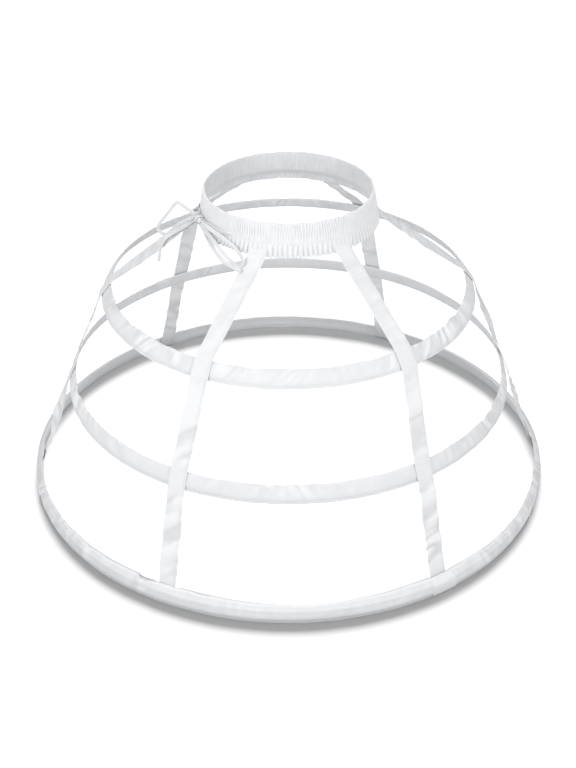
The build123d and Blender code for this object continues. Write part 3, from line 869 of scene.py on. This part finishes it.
def tape_piece(name):
    """Tape: the skin's point for each place along it and each place round its thin section."""
    track = tape_track(name)
    place, half, side = closed_loop(TAPE_FACE)
    length = track[0][-1]
    s = np.linspace(0.0, length, int(length / TAPE_STEP))
    points, wrinkle = tape_point(name, track, s[:, None], place[None, :], half[None, :], side[None, :])
    # Painted shade: 0.35 all over, more in the creases and along the hem's stitched groove, less on the
    # crests.
    seam = bell(place - HEM_STITCH_PLACE, 0.6)[None, :]
    hollow = 0.35 - 1.1 * wrinkle + 0.6 * seam
    across = np.where(side > 0, place, 4 * TAPE_HALF_WIDTH - place)
    piece = grid_piece(f"tape_{name}_cloth", points, False, across, s, cotton("tape_cotton", 1.15, 0.0001),
                       hollow)
    place_piece(piece, "cotton_tape", f"tape_{name}")


# ---------------------------------------------------------------- waistband
def band_point(angle, section):
    """Point of the waistband's skin. A fold is the size of a sine, so that it is round outside and sharp in
    its valley, and its phase wanders with slow noise; the fine folds and the frill's folds each have a depth
    for each row of the section, and a row moves straight out or in from its place. The hem drops where noise
    and the frill's folds say, the top edge is ruffled, and the frill lies flat on a tape."""
    band = bpy.context.scene.crinoline_cage.band
    radius, height, fine, frill = (np.asarray(value)[None, :] for value in section)
    turn = angle[:, None] / 360.0
    wander = noise(turn * 48, height / 14.0, 48, 51)
    jitter = noise(turn * 170, height / 40.0, 170, 52)
    phase = math.pi * band.fold_count * turn + 1.5 * wander + 0.8 * jitter
    fine_fold = np.abs(np.sin(phase))
    strength = 0.75 + 0.45 * noise(turn * 90, height / 9.0 + 2, 90, 53)
    sway = noise(turn * 40, 0.5, 40, 54)
    uneven = noise(turn * band.frill_fold_count, 3.5, band.frill_fold_count, 55)
    frill_phase = math.pi * band.frill_fold_count * turn + 1.3 * sway
    frill_phase = frill_phase + 0.6 * noise(turn * 80, height / 11.0, 80, 56)
    frill_fold = np.abs(np.sin(frill_phase))
    frill_strength = 0.85 + 0.35 * uneven
    covered = tapes_cover(angle, 0, 5.2, 6.8)[:, None]
    frill_strength = frill_strength * (1.0 - covered)
    move = fine * strength * (fine_fold - 1.0) * 0.95 * (1.0 - 0.7 * covered * (height < FRILL_TOP))
    move = move + frill * (frill_strength * (frill_fold ** 0.7 - 0.85) - 0.2 * covered)
    move = move * np.where(radius < BAND_INNER_RADIUS, -1.0, 1.0)
    hang = 1.0 - smooth_step(height, 392.5, 402.0)
    gap = bell(frill_fold, 0.33) * (0.55 + 0.45 * noise(turn * 97, 6.5, 97, 57))
    drop = hang * (band.ragged / MM * gap + 0.9 * uneven + 0.5 * sway - 0.2) * (1.0 - 0.8 * covered)
    tuft = noise(turn * 411, 4.5, 411, 58)
    ruffle = smooth_step(height, 431.0, 436.0) * (0.7 * fine_fold - 0.4 + 0.5 * wander + 0.55 * tuft)
    # Painted shade: darker in each fold's valley, and all over the frill's underside and the band's inner
    # face.
    fine_fold_shade = (1 - fine_fold) * fine * strength
    frill_fold_shade = (1 - frill_fold) * np.minimum(frill, 1.6) / 1.6
    hollow = np.where(fine >= frill, fine_fold_shade, frill_fold_shade)
    below = (np.arange(radius.size) > FRILL_SHADE_ROW)[None, :]
    hollow = hollow + 1.1 * (radius < FRILL_SHADE_RADIUS) * below
    return polar(radius + move, angle[:, None], height + drop + ruffle), hollow


def waistband_piece():
    """Waistband: its skin's point for each angle and each row of the section."""
    section = np.array(BAND_SECTION).T
    angle = np.arange(BAND_COLUMNS) * 360.0 / BAND_COLUMNS
    points, hollow = band_point(angle, section)
    step = np.hypot(np.diff(section[0]), np.diff(section[1]))
    across = np.concatenate([[0.0], np.cumsum(step)])
    piece = grid_piece("waistband_cloth", points, True, across, np.radians(angle) * BAND_CLOTH_RADIUS,
                       cotton("band_cotton", 1.1, 0.0001), hollow)
    place_piece(piece, "cotton_band", "waistband")


# ---------------------------------------------------------------- drawstring and bow
def knot_to_world(route):
    """Points of the knot's frame, in the cage's frame: moved out to the knot and turned to its angle."""
    out, along, up = np.asarray(route, float).T
    turn = math.radians(KNOT_ANGLE)
    radial = KNOT_RADIUS + out
    return np.stack([radial * math.cos(turn) - along * math.sin(turn),
                     radial * math.sin(turn) + along * math.cos(turn), KNOT_HEIGHT + up], axis=1)


def spline_track(name, route):
    """Points every millimetre along a NURBS spline of order 3 whose control points are the route."""
    curve = bpy.data.curves.new(name, "CURVE")
    curve.dimensions = "3D"
    curve.resolution_u = 16
    spline = curve.splines.new("NURBS")
    spline.points.add(len(route) - 1)
    spline.points.foreach_set("co", np.column_stack([route, np.ones(len(route))]).ravel())
    spline.order_u = 3
    spline.use_endpoint_u = True
    carrier = bpy.data.objects.new(name, curve)
    mesh = bpy.data.meshes.new_from_object(carrier)
    line = np.empty(3 * len(mesh.vertices))
    mesh.vertices.foreach_get("co", line)
    bpy.data.objects.remove(carrier)
    bpy.data.meshes.remove(mesh)
    bpy.data.curves.remove(curve)
    line = line.reshape(-1, 3)
    way = np.concatenate([[0.0], np.cumsum(np.linalg.norm(np.diff(line, axis=0), axis=1))])
    along = np.linspace(0.0, way[-1], int(way[-1]) + 1)
    return along, np.stack([np.interp(along, way, line[:, k]) for k in range(3)], axis=1)


def ribbon_points(line, facing, half_width, half_thick):
    """Flat braid along a line: once round an oval section whose width lies square to the facing. The oval is
    a squared cosine wide and a squared sine thick, dished by the square of its width."""
    way = unit(np.gradient(line, axis=0))
    side = unit(np.cross(facing, way))
    out = np.cross(way, side)
    turn = np.linspace(0.0, 2 * math.pi, 16, endpoint=False)
    wide = squared_wave(np.cos(turn), 0.8)
    thick = squared_wave(np.sin(turn), 0.7)
    dished = thick + 0.35 * (wide ** 2 - 0.5) * 0.5
    across = half_width[:, None, None] * wide[None, :, None] * side[:, None, :]
    deep = half_thick[:, None, None] * dished[None, :, None] * out[:, None, :]
    return line[:, None, :] + across + deep, wide


def turned(facing, line, degrees):
    """Facing turned about the line by an angle at each point: its part square to the line times the cosine,
    plus the line's way crossed with it times the sine."""
    way = unit(np.gradient(line, axis=0))
    square = unit(facing - way * np.einsum("ij,ij->i", facing, way)[:, None])
    angle = np.radians(degrees)[:, None]
    return square * np.cos(angle) + np.cross(way, square) * np.sin(angle)


def bow_piece(name):
    """One free cord of the bow, narrow where it leaves the knot. Gives it with its line in metres, its length
    and what is on its far end."""
    cord = bpy.context.scene.crinoline_cage.cord
    length, far_end, turns = BOW_CORDS[name]
    along, line = spline_track(name, knot_to_world(BOW_ROUTES[name]))
    share = along / along[-1]
    facing = turned(np.broadcast_to(np.array(BOW_FACING), line.shape), line,
                    np.interp(share, np.linspace(0, 1, len(turns)), turns))
    from_end = np.minimum(along, along[-1] - along) if far_end == "object" else along
    spread = 0.5 + 0.5 * smooth_step(from_end, 0.0, 14.0)
    seed = 81 + list(BOW_CORDS).index(name)
    uneven = 1.0 + 0.08 * noise(along / 9.0, 0.0, 61, seed)
    half_width = cord.width / MM / 2 * spread * uneven
    half_thick = cord.thickness / MM / 2 * (1.6 - 0.6 * spread)
    points, wide = ribbon_points(line, facing, half_width, half_thick)
    across = wide * cord.width / MM / 2
    piece = grid_piece(f"{name}_braid", points, False, across, along, braid())
    place_piece(piece, "cotton_cord", name)
    return piece, line * MM, length, far_end


def lead_piece():
    """The drawstring: two flat leads from the knot along the band, and the ring in its channel, where the
    braid is rolled round."""
    def on_band(angles, radius):
        """Points round the band at these angles from the knot."""
        return [tuple(polar(radius, KNOT_ANGLE + angle, CHANNEL_HEIGHT)) for angle in angles]

    cord = bpy.context.scene.crinoline_cage.cord
    right = [tuple(point) for point in knot_to_world([(-1.6, 8.0, 2.0), (-1.6, 15.0, 2.0)])]
    left = [tuple(point) for point in knot_to_world([(-1.6, -8.0, 2.0), (-1.6, -15.0, 2.0)])]
    ring = on_band(np.arange(34.5, 337.0, 7.0), CHANNEL_RADIUS)
    going_in = on_band((12.5, 19.5, 25.0), LEAD_RADIUS)
    coming_out = on_band((-15.0, -10.0), LEAD_RADIUS)
    route = right + going_in + ring + coming_out + left[::-1]
    along, line = spline_track("drawstring_line", np.array(route))
    shown, gone = LEAD_COMES_OUT
    hidden = smooth_step(along, *LEAD_GOES_IN) * (1 - smooth_step(along, along[-1] - gone, along[-1] - shown))
    facing = unit(line * (1, 1, 0))
    half_width = (1 - hidden) * cord.width / MM / 2 * 0.9 + hidden * HIDDEN_CORD_RADIUS
    half_thick = (1 - hidden) * cord.thickness / MM / 2 + hidden * HIDDEN_CORD_RADIUS
    points, wide = ribbon_points(line, facing, half_width, half_thick)
    piece = grid_piece("drawstring_braid", points, False, wide * cord.width / MM / 2, along, braid())
    place_piece(piece, "cotton_cord", "drawstring")


def knot_piece():
    """Tied knot in two pieces: a plump roll along the band with grooves along it, closed at its ends, and one
    turn of braid round its middle. The roll is a circle shrunk towards its ends and by the power 0.6 of a
    sine's size; the turn carries a flat dished section round an oval."""
    turn = np.linspace(0.0, 2 * math.pi, 40, endpoint=False)
    way = np.linspace(-1.0, 1.0, 25)
    fat = np.sqrt(np.clip(1.0 - np.abs(way) ** 3.2, 0.0, 1.0))
    fat = 0.18 + 0.82 * fat * (0.86 + 0.2 * np.abs(way))
    groove = 1.0 - 0.14 * np.abs(np.sin(2.5 * turn[None, :] + 0.9 * way[:, None])) ** 0.6
    half_out, half_up, half_along = KNOT_ROLL
    out = KNOT_OUT + half_out * fat[:, None] * groove * np.cos(turn)[None, :]
    up = half_up * fat[:, None] * groove * np.sin(turn)[None, :] + 0.5 * way[:, None] ** 2
    along = np.broadcast_to((half_along * way)[:, None], out.shape)
    roll = knot_to_world(np.stack([out, along, up], axis=-1).reshape(-1, 3)).reshape(25, 40, 3)
    core = grid_piece("bow_knot_roll", roll, False, turn * 4.0, way * 8.0, braid(), np.full(out.shape, 0.2))
    steps = np.linspace(0.0, 2 * math.pi, 61)[:-1]
    half_out, half_up = KNOT_TURN
    half_wide, half_thick = KNOT_BRAID
    turn_line = np.stack([KNOT_OUT + half_out * np.cos(steps), 1.3 * np.sin(steps - 0.4),
                          half_up * np.sin(steps)], axis=1)
    section = np.linspace(0.0, 2 * math.pi, 14, endpoint=False)
    wide = half_wide * squared_wave(np.cos(section), 0.8)
    deep = half_thick * np.sin(section) - 0.25 * (wide / half_wide) ** 2
    normal = unit(np.stack([np.cos(steps) * half_up, np.zeros(60), np.sin(steps) * half_out], axis=1))
    wrap = turn_line[:, None, :] + wide[None, :, None] * np.array([0.0, 1.0, 0.0]) \
        + deep[None, :, None] * normal[:, None, :]
    wrap = knot_to_world(wrap.reshape(-1, 3)).reshape(60, 14, 3)
    turn_piece = grid_piece("bow_knot_turn", wrap, True, wide, steps * 4.4, braid(), np.full((60, 14), 0.1))
    place_piece(core, "cotton_cord", "bow_knot")
    place_piece(turn_piece, "cotton_cord")
    return [core, turn_piece]


# ---------------------------------------------------------------- stitches
def stitch_piece(name, starts, ends, outs):
    """Stitches from their ends and ways out: each is a thread of five sides whose radius is small at both
    ends, and all of them are worked out at once."""
    thread_radius = bpy.context.scene.crinoline_cage.stitch.thread / MM / 2
    starts, ends, outs = (np.concatenate(parts) for parts in (starts, ends, outs))
    way, length = unit(ends - starts), np.linalg.norm(ends - starts, axis=1)
    side = unit(np.cross(outs, way))
    out = np.cross(way, side)
    place = np.array([-0.5, -0.3, 0.3, 0.5])[None, :, None, None]
    thin = np.array([0.4, 1.0, 1.0, 0.4])[None, :, None, None]
    sunk = np.array([-0.5, 0.35, 0.35, -0.5])[None, :, None, None]
    turn = np.linspace(0.0, 2 * math.pi, 5, endpoint=False)
    centre = (starts + ends) / 2
    points = centre[:, None, None, :] + way[:, None, None, :] * (place * length[:, None, None, None])
    ring = np.cos(turn)[None, None, :, None] * side[:, None, None, :] \
        + 0.8 * np.sin(turn)[None, None, :, None] * out[:, None, None, :]
    points = points + ring * (thread_radius * thin) + sunk * thread_radius * out[:, None, None, :]
    corners, counts, at_i, at_j = grid_faces(4, 5, False)
    corners, at_i, at_j = faced_outwards(points[0], corners, counts, at_i, at_j)
    many = len(starts)
    all_corners = (corners[None, :] + 20 * np.arange(many)[:, None]).ravel()
    uv = np.stack([at_i * 0.6, at_j * 0.3], axis=1) * MM
    piece = fill_mesh(name, points, all_corners, np.tile(counts, many), np.tile(uv, (many, 1)), thread())
    return place_piece(piece, "cotton_casing")


def casing_stitches(hoop):
    """Stitches along both faces of a casing's lip, and along the bottom casing's top edge where a tape is
    caught in."""
    stitch = bpy.context.scene.crinoline_cage.stitch
    facts = HOOPS[hoop]
    pitch = math.degrees(stitch.pitch / MM / facts["radius"])
    show = math.degrees(stitch.length / MM / facts["radius"])
    whole = np.arange(int(360.0 / pitch)) * 360.0 / int(360.0 / pitch)
    half = float(np.interp(LIP_STITCH_HEIGHT, *np.array(CASING_FACE)[::-1].T))
    starts, ends, outs = [], [], []
    lean = math.radians(facts["lean"])

    def run(angles, b, half_thick, side):
        """Add stitches that start at these angles, at height b on one face."""
        starts.append(casing_point(hoop, angles, b, half_thick, side)[0])
        ends.append(casing_point(hoop, angles + show, b, half_thick, side)[0])
        outs.append(side * polar(math.cos(lean), angles + show / 2, math.sin(lean)))

    run(whole, LIP_STITCH_HEIGHT, half + 0.12, 1.0)
    run(whole, LIP_STITCH_HEIGHT, half + 0.12, -1.0)
    if hoop == "bottom":
        for name in TAPE_NAMES:
            caught = np.arange(-4, 5) * pitch * 0.9 + tape_angle(name, 3) - show / 2
            run(caught, CATCH_STITCH_HEIGHT, CATCH_STITCH_OUT, 1.0)
    stitch_piece(f"{hoop}_hoop_casing_stitches", starts, ends, outs)


def tape_stitches(name):
    """Stitches beside a tape's hem, across its folded top and across it at each hoop."""
    stitch = bpy.context.scene.crinoline_cage.stitch
    track = tape_track(name)
    stations = track[4]
    pitch, show = stitch.pitch / MM, stitch.length / MM
    starts, ends, outs = [], [], []

    def spot(s, t):
        """Point just above the tape's outer face."""
        return tape_point(name, track, s, t, TAPE_STITCH_OUT, 1.0)[0]

    def run(s0, t0, s1, t1):
        """Add stitches from one place along and across the tape to another."""
        s0, t0, s1, t1 = (np.asarray(value, float) for value in np.broadcast_arrays(s0, t0, s1, t1))
        starts.append(spot(s0, t0))
        ends.append(spot(s1, t1))
        middle = (s0 + s1) / 2
        outs.append(np.stack([np.interp(middle, track[0], track[3][:, k]) for k in range(3)], axis=-1))

    down = np.arange(12.0, stations[6] - 2.0, pitch)
    run(down, HEM_STITCH_PLACE, down + show, HEM_STITCH_PLACE)
    over = np.arange(-ACROSS_STITCH_REACH, ACROSS_STITCH_REACH - show, pitch * 0.85)
    run(TOP_STITCH_PLACE, over, TOP_STITCH_PLACE, over + show)
    for station, beyond in HOOP_STITCH_PLACES.items():
        run(stations[station] + beyond, over, stations[station] + beyond, over + show)
    piece = stitch_piece(f"tape_{name}_stitches", starts, ends, outs)


# ---------------------------------------------------------------- pieces inside the cloth
def coated_steel():
    """Sprung steel under a pale paper coating, with faint rubs."""
    material, tree = blank_material("coated_bone_paper")
    place = object_place(tree)
    rubs = mottle(tree, place, 45.0, 6.0)
    colour = mix_colours(tree, rubs, (0.74, 0.73, 0.7, 1.0), (0.86, 0.85, 0.82, 1.0))
    rough = math_node(tree, "ADD", math_node(tree, "MULTIPLY", rubs, 0.3), 0.35)
    fibres = mottle(tree, place, 900.0)
    return finish_material(material, tree, {"Base Color": colour, "Roughness": rough}, fibres, 0.00005)


def plated_steel():
    """Plated ferrule with fine draw marks round it."""
    material, tree = blank_material("plated_ferrule")
    stretched = new_node(tree, "ShaderNodeVectorMath", {0: object_place(tree), 1: (1.0, 1.0, 30.0)},
                         operation="MULTIPLY").outputs[0]
    marks = mottle(tree, stretched, 140.0, 4.0)
    rough = math_node(tree, "ADD", math_node(tree, "MULTIPLY", marks, 0.25), 0.2)
    inputs = {"Base Color": (0.62, 0.62, 0.61, 1.0), "Metallic": 1.0, "Roughness": rough}
    return finish_material(material, tree, inputs, marks, 0.00003)


def ribbed_elastic():
    """Woven elastic: ribs a millimetre and a half apart up its height, crossed by fine threads."""
    material, tree = blank_material("ribbed_elastic")
    place = object_place(tree)
    apart = new_node(tree, "ShaderNodeSeparateXYZ", {0: place})
    ribs = math_node(tree, "SINE", math_node(tree, "MULTIPLY", apart.outputs[2], 2 * math.pi / 0.0015))
    threads = mottle(tree, place, 1200.0)
    height = math_node(tree, "ADD", ribs, threads)
    colour = mix_colours(tree, threads, (0.78, 0.78, 0.77, 1.0), (0.88, 0.88, 0.87, 1.0))
    return finish_material(material, tree, {"Base Color": colour, "Roughness": 0.7}, height, 0.0002)


# ---------------------------------------------------------------- operators
class CAGE_OT_camera(bpy.types.Operator):
    """Place the camera"""
    bl_idname = "cage.camera"
    bl_label = "Place camera"

    def execute(self, context):
        stage = context.scene.crinoline_cage.stage
        data = bpy.data.cameras.new("cage_camera")
        data.lens = stage.camera_lens
        data.sensor_width = 36.0
        data.shift_x = stage.camera_shift
        data.clip_end = 100.0
        camera = bpy.data.objects.new("cage_camera", data)
        camera.location = stage.camera_place
        camera.rotation_euler = Euler((math.pi / 2 - stage.camera_pitch, 0.0, 0.0))
        context.scene.collection.objects.link(camera)
        context.scene.camera = camera
        return {"FINISHED"}


class CAGE_OT_bow(bpy.types.Operator):
    """Tie the drawstring's bow"""
    bl_idname = "cage.bow"
    bl_label = "Tie bow"

    def execute(self, context):
        lead_piece()
        knot = knot_piece()
        for name in BOW_CORDS:
            piece, path, length, far_end = bow_piece(name)
        return {"FINISHED"}


class CAGE_OT_waistband(bpy.types.Operator):
    """Gather the waistband and its frill"""
    bl_idname = "cage.waistband"
    bl_label = "Gather waistband"

    def execute(self, context):
        waistband_piece()
        return {"FINISHED"}


class CAGE_OT_casings(bpy.types.Operator):
    """Cover the hoops with their casings"""
    bl_idname = "cage.casings"
    bl_label = "Cover hoops"

    def execute(self, context):
        for hoop in HOOPS:
            casing_piece(hoop)
        lap_piece()
        return {"FINISHED"}


class CAGE_OT_tapes(bpy.types.Operator):
    """Hang the tapes"""
    bl_idname = "cage.tapes"
    bl_label = "Hang tapes"

    def execute(self, context):
        for name in TAPE_NAMES:
            tape_piece(name)
        return {"FINISHED"}


class CAGE_OT_stitches(bpy.types.Operator):
    """Sew the casings and tapes"""
    bl_idname = "cage.stitches"
    bl_label = "Sew"

    def execute(self, context):
        for hoop in HOOPS:
            casing_stitches(hoop)
        for name in TAPE_NAMES:
            tape_stitches(name)
        return {"FINISHED"}


class CAGE_OT_inside(bpy.types.Operator):
    """Finish the bones, ferrules and elastic inside the cloth"""
    bl_idname = "cage.inside"
    bl_label = "Finish inside pieces"

    def execute(self, context):
        finishes = {"bone": coated_steel(), "ferrule": plated_steel(), "elastic": ribbed_elastic()}
        nodes = {f"{hoop}_hoop_{kind}": kind for hoop in HOOPS for kind in ("bone", "ferrule")}
        nodes["waist_elastic"] = "elastic"
        for node, kind in nodes.items():
            piece = bpy.data.objects[node]
            piece.data.materials.clear()
            piece.data.materials.append(finishes[kind])
        return {"FINISHED"}


class CAGE_OT_stage(bpy.types.Operator):
    """Lay the floor and set the lights"""
    bl_idname = "cage.stage"
    bl_label = "Set stage"

    def execute(self, context):
        scene = context.scene
        stage = scene.crinoline_cage.stage
        material, tree = blank_material("pale_floor")
        seen = new_node(tree, "ShaderNodeLightPath").outputs["Is Camera Ray"]
        colour = mix_colours(tree, seen, (stage.floor_bounce,) * 3 + (1.0,),
                             tuple(stage.floor_colour) + (1.0,))
        finish_material(material, tree, {"Base Color": colour, "Roughness": 0.95, "Specular IOR Level": 0.0})
        mesh = bpy.data.meshes.new("floor")
        corners = [(x * FLOOR_REACH, y * FLOOR_REACH, 0.0) for x, y in ((-1, -1), (1, -1), (1, 1), (-1, 1))]
        mesh.from_pydata(corners, [], [(0, 1, 2, 3)])
        mesh.materials.append(material)
        floor = bpy.data.objects.new("floor", mesh)
        scene.collection.objects.link(floor)

        def light(name, kind, place, target, energy):
            """Lamp at a place, turned so that its own -Z points at the target."""
            data = bpy.data.lights.new(name, kind)
            data.energy = energy
            lamp = bpy.data.objects.new(name, data)
            lamp.location = place
            way = np.array(target) - np.array(place)
            level = math.hypot(way[0], way[1])
            lamp.rotation_euler = Euler((math.atan2(level, -way[2]), 0.0, math.atan2(-way[0], way[1])))
            scene.collection.objects.link(lamp)
            return lamp

        def sun(name):
            """Broad light that shines towards the middle."""
            place, spread = BROAD_LIGHTS[name]
            lamp = light(f"{name}_light", "SUN", place, (0.0, 0.0, 0.0), getattr(stage, f"{name}_strength"))
            lamp.data.angle = math.radians(spread)
            return lamp

        def only(name, pieces):
            """Collection that a light is linked to."""
            group = bpy.data.collections.new(name)
            for piece in pieces:
                group.objects.link(piece)
            return group

        pieces = [piece for piece in scene.collection.all_objects
                  if piece.type == "MESH" and piece != floor]
        low_pieces = [piece for piece in pieces if piece.name.startswith("bottom_hoop_casing")]
        high_pieces = [piece for piece in pieces if piece not in low_pieces]
        shading = [bpy.data.objects["bottom_hoop_casing_cloth"]]
        back = sun("back")
        back.light_linking.receiver_collection = only("lit_from_behind", [floor])
        back.light_linking.blocker_collection = only("shades_the_floor", shading)
        for name, (place, target) in SQUARE_LIGHTS.items():
            lamp = light(f"{name}_light", "AREA", place, target, getattr(stage, f"{name}_power"))
            lamp.data.shape = "SQUARE"
            lamp.data.size = SQUARE_LIGHT_SIZE
            lit = low_pieces if name == "low" else pieces
            lamp.light_linking.receiver_collection = only(f"lit_by_{name}_light", lit)
        sun("top").light_linking.receiver_collection = only("lit_by_top_light", high_pieces)
        world = bpy.data.worlds.new("pale_room")
        world.use_nodes = True
        room = world.node_tree.nodes["Background"]
        room.inputs[0].default_value = (1.0, 1.0, 1.0, 1.0)
        room.inputs[1].default_value = stage.room_light
        scene.world = world
        scene.view_settings.view_transform = "Standard"
        return {"FINISHED"}


OPERATORS = (CAGE_OT_camera, CAGE_OT_bow, CAGE_OT_waistband, CAGE_OT_casings, CAGE_OT_tapes, CAGE_OT_stitches,
             CAGE_OT_inside, CAGE_OT_stage)


class CAGE_PT_panel(bpy.types.Panel):
    """Buttons and settings of the crinoline cage"""
    bl_idname = "CAGE_PT_panel"
    bl_label = "Crinoline Cage"
    bl_space_type = "VIEW_3D"
    bl_region_type = "UI"
    bl_category = "Crinoline"

    def draw(self, context):
        settings = context.scene.crinoline_cage
        for name in ("cloth", "band", "cord", "stitch", "stage"):
            group = getattr(settings, name)
            box = self.layout.box()
            for prop in group.bl_rna.properties:
                if prop.identifier not in ("rna_type", "name"):
                    box.prop(group, prop.identifier)
        for operator in OPERATORS:
            self.layout.operator(operator.bl_idname)


CLASSES = (CAGE_PG_cloth, CAGE_PG_band, CAGE_PG_cord, CAGE_PG_stitch, CAGE_PG_stage, CAGE_PG_settings) \
    + OPERATORS + (CAGE_PT_panel,)


def register():
    """Register the classes and give every scene the settings."""
    for cls in CLASSES:
        bpy.utils.register_class(cls)
    bpy.types.Scene.crinoline_cage = PointerProperty(type=CAGE_PG_settings)


def unregister():
    """Take away what register added."""
    del bpy.types.Scene.crinoline_cage
    for cls in reversed(CLASSES):
        bpy.utils.unregister_class(cls)


def main():
    """Build everything in order."""
    register()
    bpy.ops.cage.camera()
    bpy.ops.cage.bow()
    bpy.ops.cage.waistband()
    bpy.ops.cage.casings()
    bpy.ops.cage.tapes()
    bpy.ops.cage.stitches()
    bpy.ops.cage.inside()
    bpy.ops.cage.stage()


if __name__ == "__main__":
    main()
